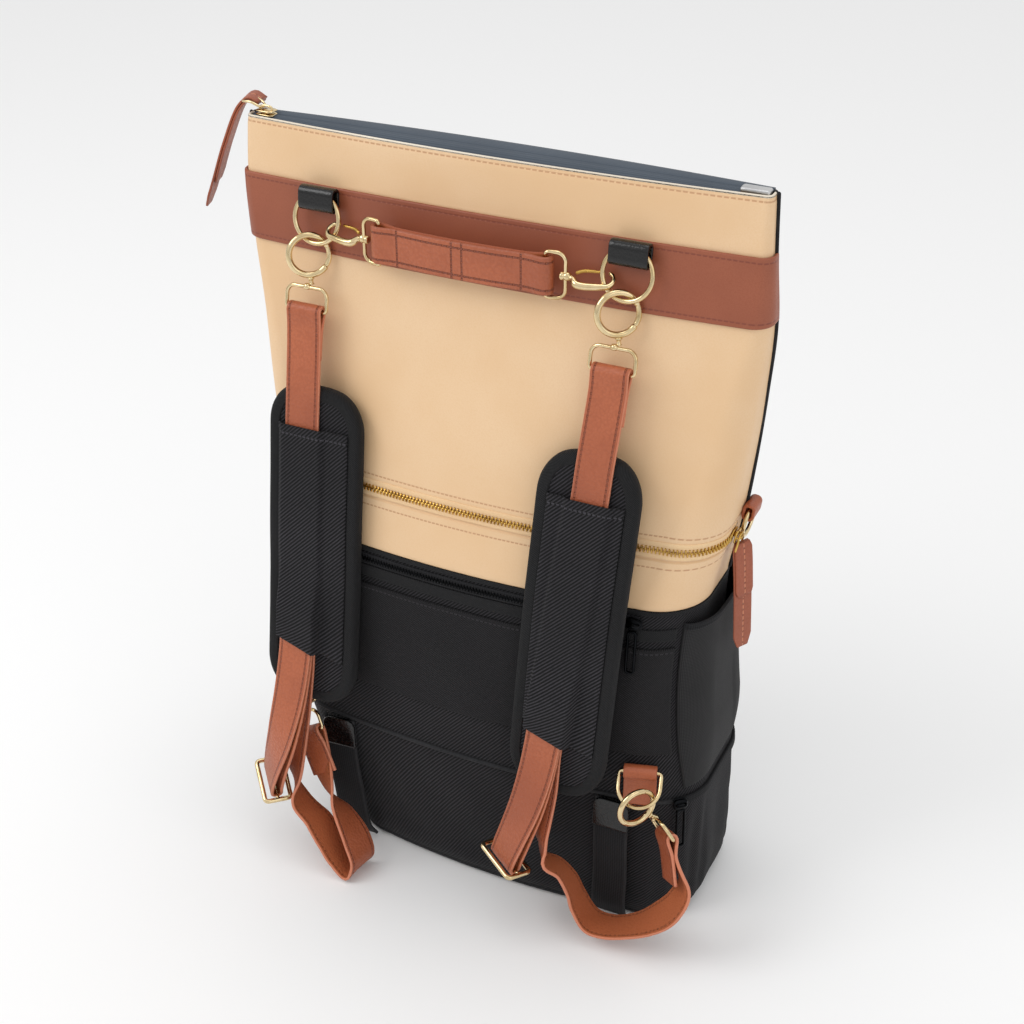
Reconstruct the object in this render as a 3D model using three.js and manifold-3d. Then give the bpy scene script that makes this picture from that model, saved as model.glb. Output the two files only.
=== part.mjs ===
// Convertible backpack: a tall bag with a leather upper, a cloth lower and two padded straps.
// Millimetres, +Z up, origin on the floor under the base, the strap side faces -Y.
import * as THREE from "three";
import { mergeVertices } from "three/addons/utils/BufferGeometryUtils.js";
import Module from "manifold-3d";

const wasm = await Module();
wasm.setup();

// Driving dimensions of the bag
const lowerHeight = 108;
const middleHeight = 150;
const upperHeight = 272;
const topWidth = 360;
const baseDepth = 138;
const clothWall = 3;
const leatherWall = 2;
const gap = 0.35;
const bagHeight = lowerHeight + middleHeight + upperHeight;

// Leather band and top closure
const bandDrop = 36;
const bandWidth = 43;
const closureDrop = 7;
const closureThickness = 3;
const closureTeeth = 4;
const topPullWidth = 17;
const topPullLength = 92;
const pullThickness = 3.2;

// Zips and sewn panels on the strap side
const goldZipRise = 44;
const goldZipWidth = 8;
const zipProud = 1.6;
const goldPullLength = 78;
const goldPullWidth = 15;
const blackZipDrop = 8;
const blackZipWidth = 7;
const metalPullLength = 32;
const metalPullWidth = 7;
const metalPullThickness = 2;
const panelDrop = 27;
const panelHeight = 84;
const panelThickness = 1.6;
const pocketHeight = 130;
const pocketBulge = 8;
const pocketWall = 1.6;
const lowerZipWidth = 6;
const stripWidth = 25;
const stripThickness = 3;
const stripTop = 106;
const stripStandoff = 3;

// Straps, pads and handle
const strapWidth = 25;
const strapThickness = 2.4;
const padWidth = 69;
const padThickness = 8;
const sleeveWidth = 52;
const sleeveWall = 1.4;
const foldLength = 32;
const returnShare = 0.74;
const layerStep = 2.75;
const strapBow = 3;
const handleWidth = 24.5;
const handleThickness = 2.6;
const handleBow = 3;

// Metal hardware
const ringOuter = 35;
const ringWire = 3.2;
const gateRingOuter = 30;
const gateRingWire = 4.2;
const loopWire = 2.6;
const loopHeight = 17;
const postLength = 3.4;
const buckleWire = 2.4;
const buckleSlot = 7;
const dRingWidth = 31;
const dRingHeight = 27;
const dRingWire = 2.8;
const dTabWidth = 22.4;
const dTabHeight = 36;
const sideRingOuter = 25;
const sideTabWidth = 16;
const hookLength = 31;
const hookWire = 3;
const hookGape = 7.4;
const hookLoop = 12;
const tabWall = 2;
const tabRise = 1;
const ringTilt = 0.11;
const wireSides = 6;
const ringSteps = 16;

// Seams worked out from the heights
const lowerTop = lowerHeight;
const middleTop = lowerHeight + middleHeight;
const bandTop = bagHeight - bandDrop;
const bandBottom = bandTop - bandWidth;
const goldZipZ = middleTop + goldZipRise;
const blackZipZ = middleTop - blackZipDrop;
const panelTop = middleTop - panelDrop;

// Small helpers for points and tables
const point = (x, y, z) => new THREE.Vector3(x, y, z);
const lerp = THREE.MathUtils.lerp;
const table = (columns, rows) =>
  rows.map((row) => Object.fromEntries(row.map((value, i) => [columns[i], value])));

function readTable(rows, key, at) {
  let i = 1;
  while (i < rows.length - 1 && rows[i][key] < at) {
    i += 1;
  }
  const low = rows[i - 1];
  const high = rows[i];
  const share = THREE.MathUtils.clamp((at - low[key]) / (high[key] - low[key]), 0, 1);
  const read = {};
  for (const name of Object.keys(low)) {
    read[name] = lerp(low[name], high[name], share);
  }
  return read;
}

// The bag's plan at each height: height is a share of bagHeight, left and right are shares
// of topWidth, and the others are shares of baseDepth. The left foot is slumped in.
const sections = table(
  ["height", "left", "right", "front", "back", "corner", "crown"],
  [
    [0, -0.289, 0.428, -0.406, 0.391, 0.246, 0.051],
    [0.015, -0.306, 0.444, -0.435, 0.428, 0.275, 0.058],
    [0.057, -0.336, 0.453, -0.442, 0.435, 0.29, 0.058],
    [0.114, -0.372, 0.453, -0.449, 0.442, 0.29, 0.058],
    [0.204, -0.417, 0.45, -0.449, 0.442, 0.29, 0.058],
    [0.283, -0.425, 0.43, -0.449, 0.435, 0.29, 0.058],
    [0.377, -0.428, 0.422, -0.442, 0.413, 0.29, 0.058],
    [0.487, -0.433, 0.428, -0.406, 0.37, 0.275, 0.072],
    [0.566, -0.447, 0.45, -0.355, 0.312, 0.239, 0.08],
    [0.66, -0.464, 0.469, -0.29, 0.239, 0.196, 0.087],
    [0.755, -0.478, 0.483, -0.221, 0.159, 0.145, 0.072],
    [0.849, -0.493, 0.493, -0.162, 0.065, 0.087, 0.051],
    [0.925, -0.5, 0.486, -0.123, 0.011, 0.051, 0.036],
    [1, -0.494, 0.481, -0.101, 0, 0.036, 0.051],
  ],
);
const frontSteps = 8;
const cornerSteps = 4;
const backSteps = 6;
const frontStart = 1 + cornerSteps;
const frontEnd = frontStart + frontSteps;
const leftSeam = frontEnd + cornerSteps + 1;
const outlineCount = leftSeam + 2 * cornerSteps + backSteps;

function sectionAt(z) {
  const share = readTable(sections, "height", z / bagHeight);
  return {
    left: share.left * topWidth,
    right: share.right * topWidth,
    front: share.front * baseDepth,
    back: share.back * baseDepth,
    corner: share.corner * baseDepth,
    crown: share.crown * baseDepth,
  };
}

// The closed outline at one height, moved out from the bag's surface. It starts where the
// right side meets the back, and goes by the front to the left side and round the back.
function outline(z, out) {
  const s = sectionAt(z);
  const radius = s.corner + out;
  const x0 = s.left + s.corner;
  const x1 = s.right - s.corner;
  const y0 = s.front + s.corner;
  const y1 = s.back - s.corner;
  const points = [];
  const corner = (x, y, from, skipLast) => {
    for (let i = 0; i <= cornerSteps - skipLast; i += 1) {
      const angle = ((from - (i * 90) / cornerSteps) * Math.PI) / 180;
      points.push(point(x + radius * Math.cos(angle), y + radius * Math.sin(angle), z));
    }
  };
  const flat = (fromX, toX, y, sign, steps) => {
    for (let i = 1; i < steps; i += 1) {
      const share = i / steps;
      const bulge = s.crown * (1 - (2 * share - 1) ** 2);
      points.push(point(lerp(fromX, toX, share), y + sign * (out + bulge), z));
    }
  };
  points.push(point(x1 + radius, y1, z));
  corner(x1, y0, 0, 0);
  flat(x1, x0, s.front, -1, frontSteps);
  corner(x0, y0, -90, 0);
  corner(x0, y1, 180, 0);
  flat(x0, x1, s.back, 1, backSteps);
  corner(x1, y1, 90, 1);
  return points;
}

// A point on the bag's surface at a place along the outline, counted in outline points.
function bagPoint(place, z, out) {
  const loop = outline(z, out);
  const count = loop.length;
  const wrapped = ((place % count) + count) % count;
  const low = Math.floor(wrapped);
  return loop[low].clone().lerp(loop[(low + 1) % count], wrapped - low);
}

function placeAtX(x, z) {
  const s = sectionAt(z);
  const share = (s.right - s.corner - x) / (s.right - s.left - 2 * s.corner);
  return frontStart + share * frontSteps;
}

function frontY(x, z) {
  const s = sectionAt(z);
  const place = placeAtX(x, z);
  if (place >= frontStart && place <= frontEnd) {
    return bagPoint(place, z, 0).y;
  }
  const cornerX = place < frontStart ? s.right - s.corner : s.left + s.corner;
  const across = Math.min(Math.abs(x - cornerX), s.corner);
  return s.front + s.corner - Math.sqrt(s.corner ** 2 - across ** 2);
}

// Meshes from rings of points
function signedVolume(positions, faces) {
  let sum = 0;
  for (let i = 0; i < faces.length; i += 3) {
    const [a, b, c] = [positions[faces[i]], positions[faces[i + 1]], positions[faces[i + 2]]];
    sum += a.dot(b.clone().cross(c));
  }
  return sum / 6;
}

function meshFrom(positions, faces) {
  if (signedVolume(positions, faces) < 0) {
    faces.reverse();
  }
  const geometry = new THREE.BufferGeometry();
  const flatList = positions.flatMap((p) => [p.x, p.y, p.z]);
  geometry.setAttribute("position", new THREE.Float32BufferAttribute(flatList, 3));
  geometry.setIndex(faces);
  return geometry;
}

function capFaces(loop, start, reversed) {
  const normal = point(0, 0, 0);
  loop.forEach((p, i) => normal.add(p.clone().cross(loop[(i + 1) % loop.length])));
  normal.normalize();
  const axis = Math.abs(normal.z) < 0.9 ? point(0, 0, 1) : point(1, 0, 0);
  const u = axis.cross(normal).normalize();
  const v = normal.clone().cross(u);
  const flat = loop.map((p) => new THREE.Vector2(p.dot(u), p.dot(v)));
  const faces = [];
  for (const [a, b, c] of THREE.ShapeUtils.triangulateShape(flat, [])) {
    faces.push(...(reversed ? [start + c, start + b, start + a] : [start + a, start + b, start + c]));
  }
  return faces;
}

// Joins equal rings of points into one skin; closed joins the last ring to the first. The side
// named mirrored is split along its other diagonal.
function skin(rings, closed = false, mirrored = -1) {
  const count = rings[0].length;
  const positions = rings.flat();
  const faces = [];
  const last = closed ? rings.length : rings.length - 1;
  for (let i = 0; i < last; i += 1) {
    const next = (i + 1) % rings.length;
    for (let j = 0; j < count; j += 1) {
      const k = (j + 1) % count;
      const [a, b, c, d] = [i * count + j, i * count + k, next * count + k, next * count + j];
      faces.push(...(j === mirrored ? [a, b, d, b, c, d] : [a, b, c, a, c, d]));
    }
  }
  if (!closed) {
    faces.push(...capFaces(rings[0], 0, true));
    faces.push(...capFaces(rings[rings.length - 1], (rings.length - 1) * count, false));
  }
  return meshFrom(positions, faces);
}

function solidOf(geometry) {
  const bare = new THREE.BufferGeometry();
  const plain = geometry.index ? geometry.toNonIndexed() : geometry;
  bare.setAttribute("position", plain.getAttribute("position"));
  const merged = mergeVertices(bare, 1e-3);
  const vertProperties = merged.getAttribute("position").array;
  const triVerts = new Uint32Array(merged.index.array);
  return new wasm.Manifold(new wasm.Mesh({ numProp: 3, vertProperties, triVerts }));
}

function geometryOf(solid) {
  const mesh = solid.getMesh();
  const geometry = new THREE.BufferGeometry();
  geometry.setAttribute("position", new THREE.BufferAttribute(mesh.vertProperties, 3));
  geometry.setIndex(new THREE.BufferAttribute(mesh.triVerts, 1));
  return geometry;
}

const join = (...parts) =>
  geometryOf(parts.map(solidOf).reduce((sum, next) => sum.add(next)));

// Heights where the bag's faces bend: the edges of what lies on it, and the section rows
// that are not close to such an edge.
const edgeHeights = [
  bandBottom,
  bandTop,
  goldZipZ - goldZipWidth / 2,
  goldZipZ + goldZipWidth / 2,
  blackZipZ - blackZipWidth / 2,
  blackZipZ + blackZipWidth / 2,
  panelTop - panelHeight,
  panelTop,
  lowerTop - lowerZipWidth / 2,
  lowerTop + lowerZipWidth / 2,
];
const rowHeights = sections.map((s) => s.height * bagHeight);
const bends = [
  ...edgeHeights,
  ...rowHeights.filter((z) => edgeHeights.every((edge) => Math.abs(edge - z) > 3)),
].sort((a, b) => a - b);
const levels = (low, high) => [low, ...bends.filter((z) => z > low + 0.5 && z < high - 0.5), high];

function stations(from, to) {
  const list = [from];
  for (let i = Math.floor(from) + 1; i < to - 0.02; i += 1) {
    if (i > from + 0.02) {
      list.push(i);
    }
  }
  list.push(to);
  return list;
}

// A sheet on the bag from one place to another; inner and outer give its two faces. Both
// faces are split along the same diagonals as the bag's own walls.
function sheetOnBag(from, to, zs, inner, outer) {
  const places = stations(from, to);
  const rows = zs.length;
  const size = places.length * rows;
  const face = (out) => places.flatMap((place) => zs.map((z) => bagPoint(place, z, out(place, z))));
  const positions = [...face(outer), ...face(inner)];
  const outerAt = (i, j) => i * rows + j;
  const innerAt = (i, j) => size + i * rows + j;
  const faces = [];
  const quad = (a, b, c, d) => faces.push(a, b, c, a, c, d);
  for (let i = 0; i < places.length - 1; i += 1) {
    for (let j = 0; j < rows - 1; j += 1) {
      quad(outerAt(i, j), outerAt(i, j + 1), outerAt(i + 1, j + 1), outerAt(i + 1, j));
      faces.push(innerAt(i, j), innerAt(i + 1, j + 1), innerAt(i, j + 1));
      faces.push(innerAt(i, j), innerAt(i + 1, j), innerAt(i + 1, j + 1));
    }
    quad(outerAt(i, 0), outerAt(i + 1, 0), innerAt(i + 1, 0), innerAt(i, 0));
    const top = rows - 1;
    quad(outerAt(i, top), innerAt(i, top), innerAt(i + 1, top), outerAt(i + 1, top));
  }
  const last = places.length - 1;
  for (let j = 0; j < rows - 1; j += 1) {
    quad(outerAt(0, j), innerAt(0, j), innerAt(0, j + 1), outerAt(0, j + 1));
    quad(outerAt(last, j), outerAt(last, j + 1), innerAt(last, j + 1), innerAt(last, j));
  }
  return meshFrom(positions, faces);
}

const flatSheet = (from, to, low, high, standoff, thickness) =>
  sheetOnBag(from, to, levels(low, high), () => standoff, () => standoff + thickness);

// Flat and round parts of the hardware
function extrudeFlat(shape, thickness) {
  const geometry = new THREE.ExtrudeGeometry(shape, {
    depth: thickness,
    bevelEnabled: false,
    curveSegments: 2,
  });
  return geometry.translate(0, 0, -thickness / 2);
}

function roundedRect(width, height, radius) {
  const shape = new THREE.Shape();
  const x = width / 2;
  const y = height / 2;
  shape.moveTo(-x + radius, -y);
  shape.lineTo(x - radius, -y);
  shape.absarc(x - radius, -y + radius, radius, -Math.PI / 2, 0);
  shape.lineTo(x, y - radius);
  shape.absarc(x - radius, y - radius, radius, 0, Math.PI / 2);
  shape.lineTo(-x + radius, y);
  shape.absarc(-x + radius, y - radius, radius, Math.PI / 2, Math.PI);
  shape.lineTo(-x, -y + radius);
  shape.absarc(-x + radius, -y + radius, radius, Math.PI, 1.5 * Math.PI);
  shape.closePath();
  return shape;
}

function arcPoints(cx, cy, radius, fromDegrees, toDegrees, steps) {
  const list = [];
  for (let i = 0; i <= steps; i += 1) {
    const angle = (lerp(fromDegrees, toDegrees, i / steps) * Math.PI) / 180;
    list.push(new THREE.Vector2(cx + radius * Math.cos(angle), cy + radius * Math.sin(angle)));
  }
  return list;
}

// A round wire along points in the XY plane.
function flatWire(points, diameter, closed) {
  const count = points.length;
  const rings = points.map((p, i) => {
    const before = points[closed ? (i + count - 1) % count : Math.max(i - 1, 0)];
    const after = points[closed ? (i + 1) % count : Math.min(i + 1, count - 1)];
    const inDirection = p.clone().sub(before);
    const outDirection = after.clone().sub(p);
    if (inDirection.length() === 0) {
      inDirection.copy(outDirection);
    }
    if (outDirection.length() === 0) {
      outDirection.copy(inDirection);
    }
    inDirection.normalize();
    outDirection.normalize();
    const along = inDirection.clone().add(outDirection).normalize();
    const stretch = 1 / Math.max(along.dot(outDirection), 0.5);
    const ring = [];
    for (let k = 0; k < wireSides; k += 1) {
      const angle = (2 * Math.PI * (k + 0.5)) / wireSides;
      const across = (diameter / 2) * Math.cos(angle) * stretch;
      const up = (diameter / 2) * Math.sin(angle);
      ring.push(point(p.x - along.y * across, p.y + along.x * across, up));
    }
    return ring;
  });
  return skin(rings, closed);
}

const ring = (outer, wire) =>
  flatWire(arcPoints(0, 0, (outer - wire) / 2, 0, 360, ringSteps).slice(1), wire, true);

function rod(from, to, diameter) {
  const length = from.distanceTo(to);
  const geometry = new THREE.CylinderGeometry(diameter / 2, diameter / 2, length, wireSides + 2);
  const turn = new THREE.Quaternion().setFromUnitVectors(
    point(0, 1, 0),
    to.clone().sub(from).normalize(),
  );
  geometry.applyQuaternion(turn);
  const middle = from.clone().lerp(to, 0.5);
  return geometry.translate(middle.x, middle.y, middle.z);
}

// Places a mesh by its origin and two of its axes.
function pose(mesh, origin, xAxis, yAxis) {
  const x = xAxis.clone().normalize();
  const z = x.clone().cross(yAxis).normalize();
  const y = z.clone().cross(x);
  mesh.quaternion.setFromRotationMatrix(new THREE.Matrix4().makeBasis(x, y, z));
  mesh.position.copy(origin);
  return mesh;
}

// A flat strap along centre points, each with its width direction.
function ribbon(path, width, thickness, closed = false) {
  const count = path.length;
  const rings = path.map(({ at, across }, i) => {
    const before = path[closed ? (i + count - 1) % count : Math.max(i - 1, 0)].at;
    const after = path[closed ? (i + 1) % count : Math.min(i + 1, count - 1)].at;
    const along = after.clone().sub(before).normalize();
    const side = across.clone().sub(along.clone().multiplyScalar(across.dot(along))).normalize();
    const normal = along.clone().cross(side);
    const corner = (u, v) =>
      at.clone().addScaledVector(side, (u * width) / 2).addScaledVector(normal, (v * thickness) / 2);
    return [corner(-1, -1), corner(1, -1), corner(1, 1), corner(-1, 1)];
  });
  return skin(rings, closed, 2);
}

// Materials
const material = (color, roughness, metalness = 0) =>
  new THREE.MeshStandardMaterial({ color, roughness, metalness });
const tanLeather = material(0xe8c79a, 0.6);
const brownLeather = material(0x9a5a40, 0.55);
const cognacLeather = material(0xb8693f, 0.55);
const blackLeather = material(0x18181a, 0.25);
const blackTwill = material(0x26262a, 0.9);
const blackKnit = material(0x343436, 0.85);
const slateTape = material(0x4b5561, 0.7);
const paleGold = material(0xd9c48c, 0.22, 1);
const zipGold = material(0xc8a046, 0.3, 1);
const blackMetal = material(0x202124, 0.35, 0.6);

const bag = new THREE.Group();

function add(name, geometry, look) {
  const mesh = new THREE.Mesh(geometry, look);
  mesh.name = name;
  bag.add(mesh);
  return mesh;
}

// Leather upper and black front panel, open below to the cloth body
const upperLow = middleTop + gap;
add(
  "upper_back_panel",
  flatSheet(0, leftSeam, upperLow, bagHeight, -leatherWall, leatherWall),
  tanLeather,
);
add(
  "upper_front_panel",
  flatSheet(leftSeam, outlineCount, upperLow, bagHeight, -clothWall, clothWall).translate(0, gap, 0),
  blackTwill,
);

// Cloth body: two open boxes, the lower one under the floor of the middle one
function clothBox(low, high) {
  const zs = levels(low, high);
  const floorTop = low + clothWall;
  const inner = [...zs.filter((z) => z > floorTop + 1)].reverse();
  const rings = [
    ...zs.map((z) => outline(z, 0)),
    ...inner.map((z) => outline(z, -clothWall)),
    outline(floorTop, -clothWall),
  ];
  return skin(rings);
}
add("lower_compartment", clothBox(0, lowerTop), blackTwill);
add("middle_body", clothBox(lowerTop + gap, middleTop), blackTwill);

// Top closure: a tape with a raised row of teeth, an end tab and a slider
const closureTop = bagHeight - closureDrop;
const closureInset = -(clothWall + gap);
const topMiddle = sectionAt(bagHeight);
const closureY = (topMiddle.front + topMiddle.back) / 2 - topMiddle.crown / 2;
const closureTape = skin([
  outline(closureTop - closureThickness, closureInset),
  outline(closureTop, closureInset),
]);
const closureLeft = topMiddle.left + clothWall + gap + 4;
const closureRight = topMiddle.right - clothWall - gap - 4;
const teethRow = new THREE.BoxGeometry(closureRight - closureLeft, closureTeeth, 3);
teethRow.translate((closureLeft + closureRight) / 2, closureY + topMiddle.crown / 3, closureTop + 1);
const endTab = new THREE.BoxGeometry(14, closureTeeth + 2, closureDrop + 1);
endTab.translate(closureRight - 7, (topMiddle.front + topMiddle.back) / 2, closureTop + closureDrop / 2);
const topSlider = new THREE.BoxGeometry(12, closureTeeth + 1, closureDrop + 4);
topSlider.translate(closureLeft + 6, (topMiddle.front + topMiddle.back) / 2, closureTop + closureDrop / 2 + 1.5);
add("zip_closure", join(closureTape, teethRow, endTab, topSlider), slateTape);

// Leather pull that hangs outside the left end of the closure
const topPullRoute = table(
  ["along", "out", "drop"],
  [
    [0, 0, 0],
    [0.1, 0.07, -0.03],
    [0.22, 0.15, 0.03],
    [0.5, 0.29, 0.31],
    [0.8, 0.41, 0.62],
    [1, 0.49, 0.82],
  ],
);
const topPullStart = point(topMiddle.left + 5, -1, bagHeight + 5.5);
add(
  "top_zip_pull",
  ribbon(
    topPullRoute.map((row) => ({
      at: topPullStart.clone().add(point(-row.out * topPullLength, -0.08 * row.out * topPullLength, -row.drop * topPullLength)),
      across: point(-0.25, 1, 0),
    })),
    topPullWidth,
    pullThickness,
  ),
  cognacLeather,
);

// Brown band round the front and both sides
add(
  "leather_band",
  flatSheet(0.1, leftSeam - 0.1, bandBottom, bandTop, gap, leatherWall),
  brownLeather,
);

// Rings hang from two black tabs over the band's top edge
const hardwareShift = -12;
const tabSpread = 106;
const bandProud = gap + leatherWall;

// A tab folded round a bar or ring, in the YZ plane of its own frame, back face at y = 0.
function foldedTab(width, depth, height, tail) {
  const outer = roundedRect(depth, height, depth * 0.35);
  const hole = new THREE.Path();
  const inner = roundedRect(depth - 2 * tabWall, height - 2 * tabWall, (depth - 2 * tabWall) * 0.35);
  hole.setFromPoints(inner.getPoints(2));
  outer.holes.push(hole);
  const loop = extrudeFlat(outer, width).rotateY(Math.PI / 2).rotateX(Math.PI / 2);
  loop.translate(0, -depth / 2, 0);
  if (!tail) {
    return loop;
  }
  const plate = new THREE.BoxGeometry(width, tabWall, tail);
  plate.translate(0, -tabWall / 2, -height / 2 - tail / 2 + 2);
  return join(loop, plate);
}

const arcRise = (outer, wire, half) => {
  const radius = (outer - wire) / 2;
  return radius - Math.sqrt(radius ** 2 - half ** 2);
};

function ringCluster(side, sign) {
  const x = hardwareShift + sign * tabSpread;
  const rise = arcRise(ringOuter, ringWire, strapWidth / 2);
  const tabHeight = rise + ringWire + 2 * tabWall + 2.6;
  const tabDepth = ringWire + 2 * tabWall + 2.6;
  const tabZ = bandTop - tabHeight / 2 + tabRise;
  const surface = (z) =>
    Math.min(...[-0.5, 0, 0.5].map((share) => frontY(x + share * strapWidth, z))) - bandProud - gap;
  const up = point(0, surface(tabZ + 6) - surface(tabZ - 6), 12).normalize();
  const tab = add("ring_tab_" + side, foldedTab(strapWidth, tabDepth, tabHeight, 0), blackLeather);
  const inward = up.clone().cross(point(1, 0, 0));
  pose(tab, point(x, surface(tabZ), tabZ), point(1, 0, 0), inward);
  const tilt = up.clone().addScaledVector(inward, ringTilt).normalize();
  const wireTop = point(x, surface(tabZ), tabZ)
    .addScaledVector(inward, -(tabDepth - tabWall - ringWire / 2 - 0.8))
    .addScaledVector(up, tabHeight / 2 - tabWall - ringWire / 2 - 0.8);
  const center = wireTop.clone().addScaledVector(tilt, -(ringOuter - ringWire) / 2);
  pose(add("o_ring_" + side, ring(ringOuter, ringWire), paleGold), center, point(1, 0, 0), tilt);
  return { center, tilt, outward: inward.clone().negate() };
}

// A spring ring, its gate and the post to its swivel. The post points to -Y of its frame.
const gateFrom = -40;
const gateTo = 22;
const gateClearance = 7;
function gateRing(name, gateName, center, xAxis, yAxis) {
  const radius = (gateRingOuter - gateRingWire) / 2;
  const slack = (0.7 / radius) * (180 / Math.PI);
  const body = flatWire(
    arcPoints(0, 0, radius, gateTo + slack, gateFrom + 360 - slack, ringSteps - 3),
    gateRingWire,
    false,
  );
  const post = rod(point(0, -radius, 0), point(0, -radius - gateRingWire / 2 - postLength, 0), 2.2);
  pose(add(name, join(body, post), paleGold), center, xAxis, yAxis);
  const hinge = arcPoints(0, 0, radius, gateTo, gateTo, 1)[0];
  const arc = arcPoints(-hinge.x, -hinge.y, radius, gateTo, gateFrom + gateClearance, 4);
  const gate = add(gateName, flatWire(arc, gateRingWire - 0.8, false), paleGold);
  pose(gate, center, xAxis, yAxis);
  gate.translateX(hinge.x);
  gate.translateY(hinge.y);
}

// A strap loop: a straight bar, two sides and an arched top with the swivel's eye at 0, 0.
const loopInner = strapWidth + 1.6;
const loopHalf = (loopInner + loopWire) / 2;
const eyeHeight = 3.4;
const eyeRadius = 2.6;
function loopGeometry(height) {
  const shoulder = height * 0.47;
  const points = [
    ...arcPoints(-loopHalf + 2, 2 - height, 2, 180, 270, 2),
    ...arcPoints(loopHalf - 2, 2 - height, 2, 270, 360, 2),
    ...arcPoints(loopHalf - 6, -shoulder, 6, 0, 80, 2),
    ...arcPoints(-loopHalf + 6, -shoulder, 6, 100, 180, 2),
  ];
  const eye = new THREE.CylinderGeometry(eyeRadius, eyeRadius, eyeHeight, 8).translate(0, -eyeHeight / 2, 0);
  return join(flatWire(points, loopWire, true), eye);
}
const swivelLoop = (name, eye, xAxis, yAxis) =>
  pose(add(name, loopGeometry(loopHeight), paleGold), eye, xAxis, yAxis);

// Frames on the bag's surface: X runs to the right, Y up the surface and Z straight out
function frameOn(place, z, out) {
  const along = bagPoint(place - 0.1, z, out).sub(bagPoint(place + 0.1, z, out));
  const rise = bagPoint(place, z + 2, out).sub(bagPoint(place, z - 2, out));
  const normal = along.cross(rise).normalize();
  const right = point(0, 0, 1).cross(normal).normalize();
  const up = normal.clone().cross(right);
  return new THREE.Matrix4().makeBasis(right, up, normal).setPosition(bagPoint(place, z, out));
}

const boxAt = (frame, width, height, depth, lift) =>
  new THREE.BoxGeometry(width, height, depth).translate(0, 0, lift + depth / 2).applyMatrix4(frame);

// A zip tape with its slider at one end
const zipLift = 2 * gap + zipProud;
function zipWithSlider(name, from, to, middle, width, sliderPlace, look) {
  const tape = flatSheet(from, to, middle - width / 2, middle + width / 2, 2 * gap, zipProud);
  const frame = frameOn(sliderPlace, middle, zipLift - 0.6);
  const body = boxAt(frame, 10, width + 1, 3, 0);
  const eye = boxAt(frame, 3, 5, 5, 0);
  add(name, join(tape, body, eye), look);
}
const goldSliderPlace = 0.75;
const goldZipEnd = frontEnd + 1;
zipWithSlider("gold_zip", goldSliderPlace - 0.25, goldZipEnd, goldZipZ, goldZipWidth, goldSliderPlace, zipGold);
const blackSliderX = 0.331 * topWidth;
const blackZipLeftX = -0.29 * topWidth;
const blackSliderPlace = placeAtX(blackSliderX, blackZipZ);
zipWithSlider(
  "black_zip",
  placeAtX(blackSliderX + 6, blackZipZ),
  placeAtX(blackZipLeftX, blackZipZ),
  blackZipZ,
  blackZipWidth,
  blackSliderPlace,
  blackMetal,
);
const lowerSliderPlace = 3;
zipWithSlider(
  "lower_zip",
  leftSeam - lowerSliderPlace,
  outlineCount + lowerSliderPlace + 0.3,
  lowerTop,
  lowerZipWidth,
  outlineCount + lowerSliderPlace,
  blackMetal,
);

// Metal pulls: a slotted plate that hangs from its hinge at the frame's origin
function metalPull(name, place, z, lift) {
  const plate = roundedRect(metalPullWidth, metalPullLength, 1.6);
  const slot = new THREE.Path();
  slot.setFromPoints(roundedRect(metalPullWidth - 3.6, metalPullLength - 12, 1).getPoints(2));
  plate.holes.push(slot);
  const geometry = extrudeFlat(plate, metalPullThickness).translate(0, 1 - metalPullLength / 2, 0);
  add(name, geometry, blackMetal).applyMatrix4(frameOn(place, z, lift + metalPullThickness / 2));
}
const pullLift = zipLift + 0.6;
metalPull("black_zip_pull", blackSliderPlace, blackZipZ - blackZipWidth / 2 - 2.2, pullLift);
metalPull("lower_zip_pull", lowerSliderPlace, lowerTop - lowerZipWidth / 2 - 2.2, pullLift);

// Leather pull of the gold zip
const goldPullRoute = table(
  ["drop", "out"],
  [
    [0, 0],
    [0.15, 0.02],
    [0.5, 0.05],
    [1, 0.08],
  ],
);
const goldPullStart = bagPoint(goldSliderPlace, goldZipZ, zipLift + 4.6);
add(
  "gold_zip_pull",
  ribbon(
    goldPullRoute.map((row) => ({
      at: goldPullStart
        .clone()
        .add(point(row.out * goldPullLength, -0.3 * row.out * goldPullLength, -5 - row.drop * goldPullLength)),
      across: point(0.5, 0.87, 0),
    })),
    goldPullWidth,
    pullThickness,
  ),
  cognacLeather,
);

// Flat back pocket on the strap side and a stretch pocket on each side
const panelPlace = 3;
add(
  "back_sleeve_panel",
  flatSheet(panelPlace, leftSeam - panelPlace, panelTop - panelHeight, panelTop, gap, panelThickness),
  blackTwill,
);

const pocketLow = lowerTop + 10;
function sidePocket(name, from, to) {
  const high = pocketLow + pocketHeight;
  const bulge = (place, z) => {
    const around = Math.sin((Math.PI * (place - from)) / (to - from));
    const rise = Math.min(1, (z - pocketLow) / (0.3 * pocketHeight));
    return gap + pocketBulge * Math.sqrt(around) * Math.sin((rise * Math.PI) / 2);
  };
  const safe = (place, z) => bulge(THREE.MathUtils.clamp(place, from + 1e-9, to - 1e-9), z) || gap;
  const zs = [pocketLow, pocketLow + 12, ...levels(pocketLow + 26, high)];
  add(name, sheetOnBag(from, to, zs, safe, (place, z) => safe(place, z) + pocketWall), blackKnit);
}
sidePocket("side_pocket_right", outlineCount - 3, outlineCount + panelPlace - 0.3);
sidePocket("side_pocket_left", leftSeam - panelPlace + 0.3, leftSeam + 3);

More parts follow.
